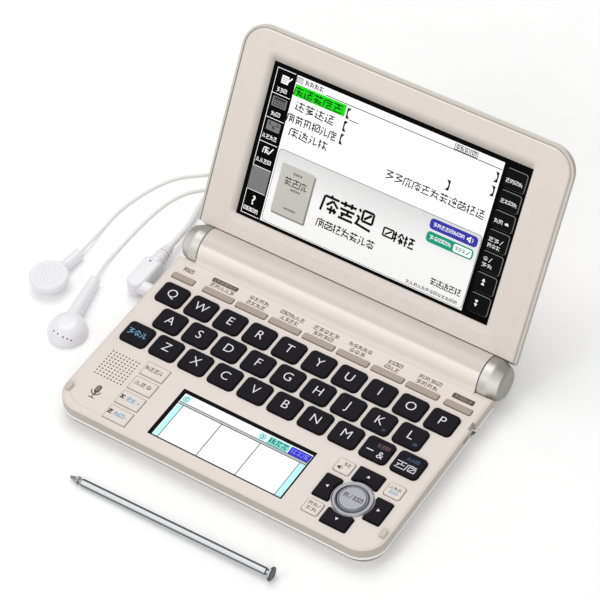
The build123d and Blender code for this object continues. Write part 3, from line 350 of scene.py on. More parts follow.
def two_tone_case_and_painted_light():
    """Pale deck and barrel with painted light, silver walls painted darker as shade, a painted
    highlight on the bead and painted shade in the gap at the walls' foot.
    """
    finish = plastic("two_tone_case_lacquer", "#E4DAD2", 0.42, coat=0.15)
    _, y, z = spot_axes(finish)
    deck = tone_over(finish, colour_now(finish), barrel_light_band(finish, y), y, *mm(*BARREL_TONES))
    # Painted highlight on the bead, below the walls' tone that is painted darker as shade
    foot = tone_over(finish, "#FFFDFA", "#BFB6AC", z, *mm(*BEAD_HIGHLIGHT_TOP))
    # Painted shade in the gap at the parting line
    wall = tone_over(finish, "#3C3934", foot, z, *mm(*GAP_SHADE_TOP))
    tone = tone_over(finish, wall, deck, z, *mm(*DECK_EDGE))
    return tune(finish, Base_Color=tone_over(finish, tone, deck, y, *mm(*BARREL_ALONE)))


def lower_lacquer():
    """The lower shell's silver, with painted shade on the steep band just below the parting line.
    """
    finish = plastic("silver_lacquered_abs_with_shade_line", "#E4E0DA", 0.35, coat=0.3)
    z = spot_axes(finish)["Z"]
    # Painted shade above 2 mm, up to the parting line
    tone = tone_over(finish, colour_now(finish), "#7A746B", z, *mm(*SHADE_LINE))
    return tune(finish, Base_Color=tone)


case_lacquer = two_tone_case_and_painted_light()
lower_shell = lower_lacquer()
# Prints where the band of painted light on the barrel begins and ends
print("painted light band from y", BARREL_LIGHT_BAND[0][0], "to", BARREL_LIGHT_BAND[-1][0])

# %% [markdown]
# The lid's lacquer is the deck's champagne, painted paler as light on the lid's face. Its
# bezel is dished towards the window, and painted shade lies on the slope above the window and
# at its left, which turns away from the light. The back cover's silver has a painted highlight
# on its left edge and painted shade on its right edge. So one tone goes by distance from the
# window's corner, and the other by the way the surface faces.

# %% Lacquers of the lid
HINGE_LINE = (0, 43.3, 9.5)  # the lid turns about it
LEAN = 59  # degrees from the table
WINDOW_CORNER = (-58, 83.9, 0)  # upper left, in the lid's own plane
SLOPE, SHADE_END, SHADE_FOOT = (0.3, 3.4), (57.0, 58.5), (17.5, 19.5)  # width, end in x, foot in y
SIDE_LIGHT_TURN = (0.3, 0.7)  # how far the back cover faces sideways where its tone changes


def lid_spot(finish):
    """A point's place in the lid's own plane, from the hinge line up."""
    place = add_node(finish, "TexCoord").outputs["Object"]
    moved = add_node(finish, "Mapping",
                     {"Vector": place, "Location": mm(*[-c for c in HINGE_LINE])})
    return add_node(finish, "VectorRotate", {"Vector": moved, "Angle": math.radians(-LEAN)},
                    rotation_type="X_AXIS")


def bezel_with_painted_shade():
    """Lid lacquer, painted paler as light on the lid's face, with painted shade on the slope down
    to the window, above it and at its left.
    """
    # Painted paler than the deck's champagne, as light on the lid's face
    finish = plastic("champagne_lacquered_abs_painted_lighter", "#EDE3DC", 0.42, coat=0.15)
    plain, spot = colour_now(finish), lid_spot(finish)
    x, y, _ = add_node(finish, "SeparateXYZ", {"Vector": spot}).outputs
    for way, amount in (("SUBTRACT", mm(*WINDOW_CORNER)), ("MULTIPLY", (-1, 1, 0)),
                        ("MAXIMUM", (0, 0, 0))):
        spot = add_node(finish, "VectorMath", {0: spot, 1: amount}, operation=way)
    far = add_node(finish, "VectorMath", {0: spot}, operation="LENGTH")
    # Painted shade near the window's upper and left edges
    tone = tone_over(finish, "#B9B1A9", plain, far, *mm(*SLOPE))
    tone = tone_over(finish, tone, plain, x, *mm(*SHADE_END))
    return tune(finish, Base_Color=tone_over(finish, plain, tone, y, *mm(*SHADE_FOOT)))


def shell_with_painted_side_light():
    """Silver with a painted highlight on its left edge and painted shade on its right edge."""
    finish = plastic("silver_champagne_lacquered_abs", "#DAD5CD", 0.35, coat=0.3)
    way = add_node(finish, "TexCoord").outputs["Normal"]
    across = add_node(finish, "SeparateXYZ", {"Vector": way}).outputs["X"]
    # Painted highlight on surfaces that face left, painted shade on those that face right
    tone = tone_over(finish, colour_now(finish), "#F8F4EF", across, *[-c for c in SIDE_LIGHT_TURN])
    return tune(finish, Base_Color=tone_over(finish, tone, "#A9A49B", across, *SIDE_LIGHT_TURN))


lid_champagne = bezel_with_painted_shade()
outer_shell = shell_with_painted_side_light()
print("lid leans", LEAN, "degrees")

# %% [markdown]
# The stylus is a drawn aluminium tube, turned and anodised. The hinge caps and the round pad
# are plated plastic, which is metal to the eye. Bare metal has little colour of its own and
# mirrors the lamps, with fine rings and scratches from its making.

# %% Metals
SCRATCH_SIZE, SCRATCH_SPREAD = 0.4, 0.08


def turned_metal(name, tone, rough, metal=1.0):
    """Metal with fine unevenness, as it comes from a lathe, a press or a plating bath."""
    finish = shader(name, Base_Color=colour(tone), Metallic=metal)
    scratches = noise(finish, SCRATCH_SIZE, 4.0)
    return uneven_gloss(finish, scratches, rough - SCRATCH_SPREAD, rough + SCRATCH_SPREAD)


stylus_metal = turned_metal("anodised_aluminium", "#A3A5A8", 0.3)
steel = turned_metal("nickel_plated_steel", "#BFC1C4", 0.25)
cell_wrap = turned_metal("cell_wrap_foil", "#C9A24A", 0.35)
skirt_metal = turned_metal("satin_plated_skirt", "#85858B", 0.45, metal=0.6)
print("stylus tip:", stylus_metal.name)

# %% [markdown]
# A round metal piece mirrors the lamps as bright lines along its length, with its darker
# surroundings between them. These are painted here: the stylus has two lines of painted
# highlight and a hinge cap has one, with painted shade on its flat end. Each highlight is a
# direction, and the tone goes by how far the surface faces that way.

# %% Tube and caps with painted reflections
END_SHADE_TURN = (0.4, 0.9)  # how far a surface faces sideways where it takes the ends' painted shade


def metal_with_painted_reflections(name, painted_dark_tone, painted_highlight_tone, highlight_ways, spread, metal, ends=None):
    """Polished round metal with painted reflections: painted highlights along lines, painted dark
    reflections between them and painted shade on its ends.
    """
    finish = turned_metal(name, painted_highlight_tone, 0.45, metal)
    way = add_node(finish, "TexCoord").outputs["Normal"]
    tone = painted_dark_tone
    for highlight_way in highlight_ways:
        lean = add_node(finish, "VectorMath", {0: way, 1: highlight_way}, operation="DOT_PRODUCT")
        tone = tone_over(finish, tone, painted_highlight_tone, lean, *spread, interpolation_type="SMOOTHSTEP")
    if ends:
        across = add_node(finish, "SeparateXYZ", {"Vector": way}).outputs["X"]
        outward = add_node(finish, "Math", {0: across}, operation="ABSOLUTE")
        tone = tone_over(finish, tone, ends, outward, *END_SHADE_TURN)
    return tune(finish, Base_Color=tone)


# Stylus barrel: painted dark reflections on its sides, two lines of painted highlight
barrel_metal = metal_with_painted_reflections("polished_aluminium_tube", "#56585C", "#E6E7E9",
                             ((0.0, -0.58, 0.81), (0.0, 0.97, -0.26)), (0.72, 0.96), metal=0.4)
# Hinge caps: one line of painted highlight, painted shade on the flat ends
silver_caps = metal_with_painted_reflections("satin_plated_caps", "#9C9A93", "#E4E2DC", ((0.0, -0.76, 0.65),),
                            (0.55, 0.92), metal=0.5, ends="#A5A39C")
print("stylus barrel:", barrel_metal.name)

# %% [markdown]
# The pad's ring is stepped: a chamfer at its inner edge, then a flat and a rim. Their light is
# painted in bands: painted shade on the chamfer, a mid tone on the flat and a painted highlight
# on the rim. The button inside it has a little painted shade round its rim, so that its dished
# middle looks brighter. Each band starts at its own radius from the button's centre.

# %% Painted light bands of the round pad
BAND_BLUR = 0.15
RING_LIGHT_BANDS = ((6.6, -0.45, "#94949A"), (7.5, 0.0, "#B0B0B6"))


def pad_with_painted_light_bands(name, first, bands):
    """Satin plating with painted light in bands. A band is its inner radius, shift in y and tone.
    """
    finish = turned_metal(name, first, 0.42, metal=0.7)
    centre = middle("centre_button")
    place = add_node(finish, "TexCoord").outputs["Object"]
    tone = first
    for radius, shift, band in bands:
        moved = add_node(finish, "VectorMath", {0: place, 1: mm(centre.x, centre.y + shift, 0)},
                         operation="SUBTRACT")
        flat = add_node(finish, "VectorMath", {0: moved, 1: (1, 1, 0)}, operation="MULTIPLY")
        reach = add_node(finish, "VectorMath", {0: flat}, operation="LENGTH")
        tone = tone_over(finish, tone, band, reach, *mm(radius - BAND_BLUR, radius + BAND_BLUR))
    return tune(finish, Base_Color=tone)


# Painted shade on the ring's inner chamfer, a mid tone on its flat, painted highlight on its rim
ring_silver = pad_with_painted_light_bands("satin_plated_ring", "#4C4C52", RING_LIGHT_BANDS)
# Painted shade round the button's rim
button_silver = pad_with_painted_light_bands("satin_plated_button", "#94949A", ((5.0, 0.0, "#8C8C92"),))
print("pad's centre", [round(c, 2) for c in middle("centre_button")])

# %% [markdown]
# The picture on a lit display glows a little by itself, so each of its colours is both a
# surface colour and a faint emission. Its face is matte, like an anti-glare film. The inks on
# keys and deck are pad-printed: thin, matte and even.

# %% Display colours and inks
FILM_GRAIN = 0.2  # of the anti-glare film


def display(name, tone, glow):
    """One colour of a lit display."""
    finish = shader("display_" + name, Base_Color=colour(tone), Emission_Color=colour(tone),
                    Emission_Strength=glow, Specular_IOR_Level=0.1)
    return uneven_gloss(finish, noise(finish, FILM_GRAIN), 0.45, 0.6)


def ink(name, tone, rough=0.6, drift=0.02):
    """Pad-printing ink."""
    return plastic(name, tone, rough, drift)


LIT_TONES = (  # name, tone and glow
    ("white", "#F4F4F4", 0.3), ("black", "#060606", 0.0), ("grey", "#808080", 0.1),
    ("green", "#10D410", 0.25), ("blue", "#3A3AA8", 0.15), ("teal", "#189A7C", 0.15),
    ("cyan", "#B4EFEA", 0.3), ("line_grey", "#5A6064", 0.0), ("pale_grey", "#C0C4C6", 0.1),
    ("pale_teal", "#86DDD2", 0.15), ("bright_blue", "#2E2ED2", 0.12),
    ("dark_teal", "#0E5A58", 0.05), ("pale_violet", "#9A9AEC", 0.1))
lit = {name: display(name, tone, glow) for name, tone, glow in LIT_TONES}
white_ink = ink("white_key_print", "#EDEDF2")
grey_ink = ink("grey_label_print", "#685C53")
brown_ink = ink("dark_brown_label_print", "#4A4038", drift=0.05)
blue_ink = ink("blue_key_print", "#7DB2D2")
shade_ink = ink("champagne_shade", "#CBBDB2", 0.5)
dark_blue_ink = ink("dark_blue_key_print", "#3F5F80")
dark_red_ink = ink("dull_red_key_print", "#7E5C60")
faint_ink = ink("faint_grey_mark", "#C6BFCB")
print("colours of the displays:", len(lit))

# %% [markdown]
# Each solid part now gets the finish of the real one. The solids stay as they are, and only
# their material slot changes.

# %% Give the solid parts their materials
FINISHES = {
    case_lacquer: "base_top_case",
    champagne: "battery_door side_key_1 side_key_2 side_key_3 side_key_4 sound_key jump_key "
               "back_key",
    lid_champagne: "lid_bezel",
    outer_shell: "lid_back_cover",
    lower_shell: "base_bottom_case",
    black_keys: "letter_keys_upper letter_keys_middle letter_keys_lower arrow_up arrow_right "
                "arrow_down arrow_left earphone_jack",
    taupe_keys: "power_key menu_key function_key_1 function_key_2 function_key_3 function_key_4 "
                "function_key_5 function_key_6 function_key_7",
    silver_caps: "hinge_cap_left hinge_cap_right",
    ring_silver: "pad_ring",
    button_silver: "centre_button",
    white_shell: "earphone_plug cord_splitter earbud_1 earbud_2",
    bumper_rubber: "lid_bumpers",
    foot_rubber: "feet key_mat",
    board_green: "main_board",
    panel_black: "screen_window sub_window main_display sub_display speaker microphone",
    barrel_metal: "stylus_barrel",
    stylus_metal: "stylus_tip",
    steel: "battery_contacts hinge_clutches hinge_pins case_screws",
    cell_wrap: "batteries",
}
for finish, names in FINISHES.items():
    for name in names.split():
        solids[name].data.materials.clear()
        solids[name].data.materials.append(finish)
for cord in (main_cord, lead_1, lead_2):
    cord.data.materials.append(white_vinyl)
print("finishes given:", len(FINISHES))

# %% [markdown]
# ## Printed shapes
# Key legends, labels and the display's picture are all flat shapes a few hundredths of a
# millimetre thick. A print starts as an empty mesh in edit mode, and every bar added there
# joins it, so one print is one object however many strokes it has. It is begun and ended by a
# with block: what is drawn inside the block belongs to the print that the block names.

# %% Begin and end a print
INK = 0.03  # thickness of a print


def deselect():
    if bpy.context.mode != "OBJECT":
        bpy.ops.object.mode_set(mode="OBJECT")
    bpy.ops.object.select_all(action="DESELECT")


def settle(piece, name, finish, body, place=None):
    """Ends the modelling of a piece: puts it in place, names it and lets it ride on a body."""
    if bpy.context.mode != "OBJECT":
        bpy.ops.mesh.select_all(action="SELECT")
        bpy.ops.mesh.normals_make_consistent(inside=False)
    deselect()
    piece.select_set(True)
    bpy.context.view_layer.objects.active = piece
    if place is not None:
        piece.matrix_world = place @ piece.matrix_world
    bpy.ops.object.transform_apply(location=True, rotation=True, scale=True)
    piece.name = piece.data.name = name
    piece.data.materials.clear()
    piece.data.materials.append(finish)
    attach(piece, body)
    print(name, "has", len(piece.data.polygons), "faces")


@contextmanager
def one_print(name, finish, body, place=None):
    """A print in its own plane, moved to its place at the end."""
    deselect()
    bpy.ops.object.add(type="MESH", enter_editmode=True)
    sheet = bpy.context.object
    yield sheet
    settle(sheet, name, finish, body, place)


def lift(z):
    return Matrix.Translation((0, 0, z * MM))


print("a print is", INK, "mm thick")

# %% [markdown]
# Bars are cubes stretched to a stroke's length and width. A round-cornered bar is a plane whose
# four corners are bevelled and that is then extruded to the ink's thickness.

# %% Bars
def bar(x0, y0, x1, y1, z=0.0):
    """A flat bar with two opposite corners given, in millimetres."""
    bpy.ops.mesh.primitive_cube_add(
        size=MM, location=mm((x0 + x1) / 2, (y0 + y1) / 2, z + INK / 2),
        scale=(abs(x1 - x0), abs(y1 - y0), INK))


def stroke(x0, y0, x1, y1, width, z=0.0):
    """A flat bar from one point to another."""
    bpy.ops.mesh.primitive_cube_add(
        size=MM, location=mm((x0 + x1) / 2, (y0 + y1) / 2, z + INK / 2),
        rotation=(0, 0, math.atan2(y1 - y0, x1 - x0)),
        scale=(math.hypot(x1 - x0, y1 - y0), width, INK))


def round_bar(x0, y0, x1, y1, radius, z=0.0):
    """A flat bar with round corners."""
    centre = mm((x0 + x1) / 2, (y0 + y1) / 2, z)
    bpy.ops.mesh.select_all(action="DESELECT")
    bpy.ops.mesh.primitive_plane_add(size=MM, location=centre)
    bpy.ops.transform.resize(value=(abs(x1 - x0), abs(y1 - y0), 1), center_override=centre)
    bpy.ops.mesh.bevel(offset=radius * MM, segments=6, affect="VERTICES")
    bpy.ops.mesh.extrude_region_move(TRANSFORM_OT_translate={"value": (0, 0, INK * MM)})


def frame_lines(x0, y0, x1, y1, width):
    """The four sides of a rectangle as thin bars."""
    bar(x0, y0, x1, y0 + width)
    bar(x0, y1 - width, x1, y1)
    bar(x0, y0 + width, x0 + width, y1 - width)
    bar(x1 - width, y0 + width, x1, y1 - width)


def arc(x, y, radius, start, step, count, lap, width):
    """Short bars along an arc. They lap over each other by a share of a step."""
    for i in range(count):
        a, b = [math.radians(start + step * turn) for turn in (i - lap, i + 1.1)]
        stroke(x + radius * math.cos(a), y + radius * math.sin(a),
               x + radius * math.cos(b), y + radius * math.sin(b), width)


def each(draw_one, *rows):
    """Draws several shapes of one kind."""
    for row in rows:
        draw_one(*row)


# %% [markdown]
# Writing is made of signs that say nothing: a few strokes in a unit square, put together at
# random, give the grey of small print. The random draws are seeded, so each run is the same.

# %% Made-up signs
# Strokes that stand for themselves or in a holder
SIGN_CORES = (
    ((0, .9, 1, .9), (.1, .52, .9, .52), (0, .08, 1, .08), (.55, .52, .55, 1), (.3, .45, .15, .25)),
    ((0, .95, 1, .95), (0, .95, 0, .2), (1, .95, 1, .2), (0, .2, 1, .2), (.2, .35, .8, .8)),
    ((.5, 1, 0, .55), (.5, 1, 1, .6), (.1, .3, .95, .3), (.45, .62, .45, 0), (.7, .5, .8, .1)),
    ((0, .8, 1, .8), (.35, 1, .35, 0), (.35, .5, 1, .05), (0, .3, .35, .15)),
    ((0, .9, .9, .9), (.15, .9, .15, 0), (.5, .9, .5, .25), (.85, .9, .85, 0), (.15, .45, .5, .45)),
    ((0, .9, .9, .9), (.9, .9, .2, .5), (.2, .5, 1, .4), (1, .4, .1, 0)),
    ((.2, .95, .35, .8), (.1, .6, .3, .45), (.3, .45, 0, 0), (.6, .95, .6, .1), (.6, .1, 1, .25)),
    ((0, .7, 1, .6), (.5, 1, .1, 0), (.3, .35, .75, .2), (.75, .45, .95, 0), (.1, .95, .25, .85)))
# Strokes that hold a core, and the field that they leave for it: lower left corner, width, height
SIGN_HOLDERS = (
    (((.1, .86, 1, .86), (.1, .86, 0, 0), (.5, 1, .55, .86)), (.3, 0, .7, .72)),
    (((0, .84, 1, .84), (.3, 1, .3, .7), (.7, 1, .7, .7)), (.05, 0, .9, .6)),
    (((.14, 1, .14, 0), (0, .7, .3, .78), (0, .3, .3, .42)), (.42, 0, .58, 1)),
    (((0, .12, 1, 0), (.1, .95, .2, .8), (.02, .55, .2, .5), (.2, .5, .1, .15)),
     (.36, .22, .64, .78)))
SIMPLE_BELOW = 2.3  # smaller signs have no holder, in millimetres
ALONE = 0.2  # share of the larger signs without one
dice = random.Random()


def sign_strokes(simple, dice):
    """A made-up sign: a core alone, or a core within the strokes that hold it."""
    core = dice.choice(SIGN_CORES)
    if simple or dice.random() < ALONE:
        return core
    holder, (x, y, w, h) = dice.choice(SIGN_HOLDERS)
    return holder + tuple((x + a * w, y + b * h, x + c * w, y + d * h) for a, b, c, d in core)


def sign(x, y, wide, tall, weight, z=0.0, simple=False, dice=dice):
    """A made-up sign as dense as printed writing. x, y is its lower left corner."""
    for a, b, c, d in sign_strokes(simple or tall < SIMPLE_BELOW, dice):
        stroke(x + wide * a, y + tall * b, x + wide * c, y + tall * d, tall * weight, z)


def signs(x0, x1, y, size, weight, gap=0.14, z=0.0, simple=False, dice=dice):
    """A line of such signs that fills x0 to x1."""
    count = max(1, round((x1 - x0) / (size * (1 + gap))))
    pitch = (x1 - x0) / count
    for i in range(count):
        sign(x0 + i * pitch, y, pitch / (1 + gap), size, weight, z, simple, dice)


print("signs to draw from:", len(SIGN_CORES) * (1 + len(SIGN_HOLDERS)))

# %% [markdown]
# ## Key legends
# The letters stand in the middle of their keys. Each row is one print, because the row presses
# as one body. They are text objects, turned to mesh and joined.

# %% Print the letters
KEY_WIDTH = 11.8
LETTER_SIZE, LETTER_WEIGHT = 5.8, -0.05


def letters(items, size, weight):
    """Flat capital letters or signs as one mesh. Each item is (text, x, y, z)."""
    made = []
    deselect()
    for text, *place in items:
        bpy.ops.object.text_add(location=mm(*place))
        line = bpy.context.object.data
        line.body = text
        line.size = size * MM
        line.align_x = line.align_y = "CENTER"
        line.extrude = INK * MM
        line.offset = weight * MM
        bpy.ops.object.convert(target="MESH")
        made.append(bpy.context.object)
    deselect()
    for letter in made:
        letter.select_set(True)
    bpy.context.view_layer.objects.active = made[0]
    if len(made) > 1:
        bpy.ops.object.join()
    return bpy.context.object


def key_places(row, count):
    """Centres of the keys in a row, in millimetres."""
    low, high = [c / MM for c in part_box(row)]
    step = (high.x - low.x - KEY_WIDTH) / (count - 1)
    return [(low.x + KEY_WIDTH / 2 + i * step, (low.y + high.y) / 2, high.z)
            for i in range(count)]


ROW_LETTERS = {"letter_keys_upper": "QWERTYUIOP", "letter_keys_middle": "ASDFGHJKL",
               "letter_keys_lower": " ZXCVBNM  "}
for row, text in ROW_LETTERS.items():
    items = [(t, *spot) for t, spot in zip(text, key_places(row, len(text))) if t != " "]
    legend = letters(items, LETTER_SIZE, LETTER_WEIGHT)
    settle(legend, row.replace("letter_keys", "legends"), white_ink, row)

# %% [markdown]
# The last keys of the lower row carry a dash, an and-sign and made-up signs. Small coloured
# signs above them and in two keys' corners name what the keys do with the shift key.

# %% Print the other legends
lower = key_places("letter_keys_lower", 10)
SHIFT, DASH, DELETE = lower[0], lower[8], lower[9]
dice.seed(7)


def on_row(name, row, finish):
    return one_print("legend_" + name, finish, row, lift(top(row)))


with on_row("shift", "letter_keys_lower", blue_ink):
    signs(SHIFT[0] - 4.3, SHIFT[0] + 4.5, SHIFT[1] - 1.4, 2.9, 0.11, gap=0.15, simple=True)
with on_row("symbols", "letter_keys_lower", white_ink):
    bar(DASH[0] - 3.8, DASH[1] - 1.75, DASH[0] - 0.8, DASH[1] - 1.3)
    signs(DELETE[0] - 4.5, DELETE[0] + 4.2, DELETE[1] - 3.6, 3.7, 0.09, gap=0.08)
with on_row("red", "letter_keys_lower", dark_red_ink):
    signs(DASH[0] - 0.8, DASH[0] + 4.4, DASH[1] + 0.9, 1.8, 0.13)
with on_row("blue", "letter_keys_lower", dark_blue_ink):
    signs(DELETE[0] - 1.8, DELETE[0] + 3.5, DELETE[1] + 1.2, 1.8, 0.13)
with on_row("corners", "letter_keys_middle", dark_blue_ink):
    for x, y, _ in key_places("letter_keys_middle", 9)[7:]:
        sign(x + 3.0, y - 3.7, 1.5, 1.1, 0.2)
settle(letters([("&", DASH[0] + 2.6, DASH[1] - 2.2, DASH[2])], 4.6, -0.03), "legend_and", white_ink,
       "letter_keys_lower")

# %% [markdown]
# ## Main display
# The lid's display shows a search menu: a title bar, four rows of choices, and a panel with a
# book and a headline below them. Touch keys are drawn in a strip at each side. The picture is
# built from flat prints laid on the window's face, from the background up, one print for each
# colour. Characters are only strokes that look as dense as small writing.

# %% Stack the display's colours
LID_PLACE = Matrix.Translation(mm(*HINGE_LINE)) @ Matrix.Rotation(math.radians(LEAN), 4, "X")
WINDOW_FACE = -2.0  # the lid window's face, out of the lid's plane
dice.seed(11)


def on_lid(name, tone, level):
    """A print on the lid's window in a display colour. level counts the prints below it."""
    return one_print("screen_" + name, lit[tone], "lid",
                     LID_PLACE @ lift(WINDOW_FACE + level * INK))


def panel_shade():
    """Grey at the panel's upper edge, fading to white in its lower half."""
    finish = shader("display_panel_shade", Emission_Strength=0.2, Roughness=0.5,
                    Specular_IOR_Level=0.1)
    y = add_node(finish, "SeparateXYZ", {"Vector": lid_spot(finish)}).outputs["Y"]
    tone = tone_over(finish, "#F4F4F4", "#D6D6D6", y, *mm(36, 52))
    return tune(finish, Base_Color=tone, Emission_Color=tone)


with on_lid("background", "white", 0):
    bar(-46.9, 19.7, 46.3, 81.8)
with on_lid("panel_edge", "grey", 1):
    round_bar(-46.4, 20.0, 46.2, 51.2, 1.6)
lit["panel_shade"] = panel_shade()
with on_lid("panel", "panel_shade", 2):
    round_bar(-46.15, 20.25, 45.95, 50.95, 1.4)
with on_lid("highlight", "green", 1):
    bar(-46.6, 73.4, -23.1, 78.2)

# %% Draw the black writing
def open_bracket(x, y, tall, side=1):
    """A bracket whose ends are wider than its middle. side 1 opens to the right, -1 to the left."""
    bar(x, y, x + side * 0.6, y + tall)
    for reach, high in ((0.95, 1.2), (1.3, 0.65), (1.6, 0.25)):
        bar(x + side * 0.6, y, x + side * reach, y + high)
        bar(x + side * 0.6, y + tall - high, x + side * reach, y + tall)


with on_lid("menu_text", "black", 1):
    signs(-42.9, -34.2, 79.1, 2.1, 0.14)
    bar(-33.0, 78.55, 46.0, 78.85)
    frame_lines(24.8, 78.9, 31.3, 81.3, 0.25)
    frame_lines(31.7, 78.9, 35.0, 81.3, 0.25)
    signs(25.4, 30.9, 79.3, 1.6, 0.16)
    sign(32.5, 79.3, 1.7, 1.6, 0.16)
    signs(-46.7, -24.0, 73.7, 3.7, 0.11, z=INK)
    each(signs, (-44.5, -26.2, 68.3, 3.6, 0.12), (-46.8, -23.6, 62.6, 3.6, 0.12),
         (-44.2, -26.2, 57.4, 3.6, 0.12))
    for y in (73.2, 67.8, 62.4):
        open_bracket(-22.4, y, 4.3)
    bar(-20.6, 72.9, -16.3, 73.2)
    each(open_bracket, (45.4, 73.0, 4.2, -1), (45.4, 67.3, 4.2, -1), (27.3, 62.4, 4.2, -1))
    signs(0.3, 44.8, 57.2, 3.6, 0.115)
with on_lid("panel_text", "black", 3):
    signs(-22.6, 1.1, 34.1, 7.5, 0.135, gap=0.08, dice=random.Random(143))
    each(signs, (6.0, 20.3, 34.2, 4.4, 0.16, 0.08), (-22.7, 4.2, 27.3, 3.7, 0.12, 0.1),
         (30.5, 44.3, 24.5, 2.8, 0.13, 0.08), (20.7, 44.0, 20.9, 1.5, 0.13, 0.2))
with on_lid("title_icon", "grey", 1):
    frame_lines(-46.8, 79.0, -43.9, 81.2, 0.3)
    each(bar, (-46.3, 79.6, -44.4, 79.8), (-46.3, 80.1, -44.4, 80.3), (-46.3, 80.6, -44.4, 80.8))

# %% [markdown]
# The book is a plain cover with a shaded edge at its right and foot. The two tags beside the
# headline are rounded bars with light signs, a loudspeaker and a box with a pen.

# %% Draw the book and the tags
lit["cover"] = plastic("display_book_cover", "#D6D3CB", 0.55, 0.06, 0.5, bump=0.0, specular=0.1)
lit["edge"] = plastic("display_book_edge", "#9C978E", 0.55, 0.06, bump=0.0, specular=0.1)
with on_lid("book_edge", "edge", 3):
    each(stroke, (-43.2, 25.1, -27.9, 25.1, 0.7), (-27.9, 25.1, -27.9, 45.5, 0.8))
with on_lid("book_cover", "cover", 3):
    round_bar(-43.5, 25.4, -28.3, 46.2, 0.4)
with on_lid("book_lines", "black", 4):
    each(signs, (-40.8, -30.2, 38.0, 3.3, 0.1, 0.08), (-37.6, -33.4, 42.9, 0.9, 0.16),
         (-37.3, -32.7, 36.2, 0.9, 0.16), (-38.0, -32.6, 28.1, 0.8, 0.16))
with on_lid("tag_blue", "blue", 3):
    round_bar(23.8, 45.5, 44.9, 49.9, 1.5)
with on_lid("tag_teal", "teal", 3):
    round_bar(23.8, 40.1, 44.5, 44.5, 1.5)
with on_lid("tag_text", "white", 4):
    signs(25.4, 39.4, 46.9, 1.6, 0.13)
    each(bar, (40.2, 47.3, 40.9, 48.2), (41.5, 46.7, 41.9, 48.8))
    each(stroke, (40.9, 47.6, 41.8, 46.6, 0.45), (40.9, 47.9, 41.8, 48.9, 0.45),
         (42.6, 46.9, 42.9, 47.8, 0.25), (42.9, 47.7, 42.6, 48.6, 0.25))
    signs(25.2, 35.0, 41.5, 1.7, 0.13)
    round_bar(35.8, 40.7, 43.8, 43.9, 0.8)
with on_lid("tag_box_text", "teal", 5):
    signs(36.6, 41.2, 41.5, 1.6, 0.15)
    stroke(41.6, 41.5, 43.2, 43.2, 0.4)

# %% [markdown]
# The strips of touch keys frame the picture. The left one has icons over short words, the right
# one has boxes with a light edge, as buttons are drawn on a screen.

# %% Draw the left strip
LEFT_LINES = (81.7, 71.3, 61.1, 50.8, 40.2, 30.0, 19.8)
LEFT_EDGE, LEFT_END = -56.1, -47.6
LEFT_WORDS = ((72.3, 4.8, 3), (62.2, 4.4, 2), (52.4, 7.0, 4), (42.2, 7.0, 4), (21.0, 7.0, 4))
with on_lid("left_keys", "white", 0):
    bar(LEFT_EDGE, LEFT_LINES[-1], LEFT_EDGE + 0.22, LEFT_LINES[0])
    for y in LEFT_LINES:
        bar(LEFT_EDGE, y - 0.12, LEFT_END, y + 0.12)
    bar(-53.2, 76.2, -50.0, 79.5)  # page
    stroke(-50.9, 76.6, -48.6, 79.4, 0.55)  # pen beside it
    for low, wide, count in LEFT_WORDS:  # height of a word, its width, its signs
        start = (LEFT_EDGE + LEFT_END) / 2 - wide / 2
        for i in range(count):
            sign(start + i * wide / count, low, wide / count * 0.84, 1.9, 0.12)
with on_lid("left_icons", "grey", 0):
    round_bar(-54.9, 66.1, -48.3, 70.2, 0.4)  # keyboard
    round_bar(-54.6, 56.1, -48.4, 60.1, 0.4)  # framed signs
with on_lid("left_icon_lines", "black", 1):
    for y in (66.6, 67.5, 68.4):
        for i in range(6):
            bar(-54.3 + i * 0.95, y, -53.7 + i * 0.95, y + 0.5)
    bar(-54.3, 69.2, -48.9, 69.8)
    for i in range(3):
        sign(-54.0 + i * 1.8, 58.3 - (i % 2) * 1.4, 1.4, 1.4, 0.16)
    each(bar, (-52.9, 76.9, -50.9, 77.1), (-52.9, 77.7, -50.5, 77.9), (-52.9, 78.5, -50.3, 78.7))
with on_lid("left_pen_icon", "white", 0):
    sign(-53.4, 46.5, 2.6, 2.8, 0.13)
    stroke(-50.6, 46.6, -48.9, 49.4, 0.5)
settle(letters([("?", -51.9, 26.0, 0)], 5.2, 0.1), "screen_left_query", lit["white"], "lid",
       LID_PLACE @ lift(WINDOW_FACE))
with on_lid("left_dim_key", "grey", 0.5):
    bar(LEFT_EDGE, 30.1, LEFT_END, 40.1)

# %% Draw the right strip
RIGHT_LINES = (81.2, 72.3, 63.9, 55.9, 46.9, 38.0, 29.4, 20.6)
RIGHT_EDGE, RIGHT_END = 48.0, 57.0


def triangle(x, y, size, angle):
    """A small filled triangle whose tip is turned by an angle from straight up."""
    bpy.ops.mesh.primitive_cylinder_add(vertices=3, radius=size * MM, depth=INK * MM,
                                        location=mm(x, y, INK / 2), rotation=(0, 0, angle))


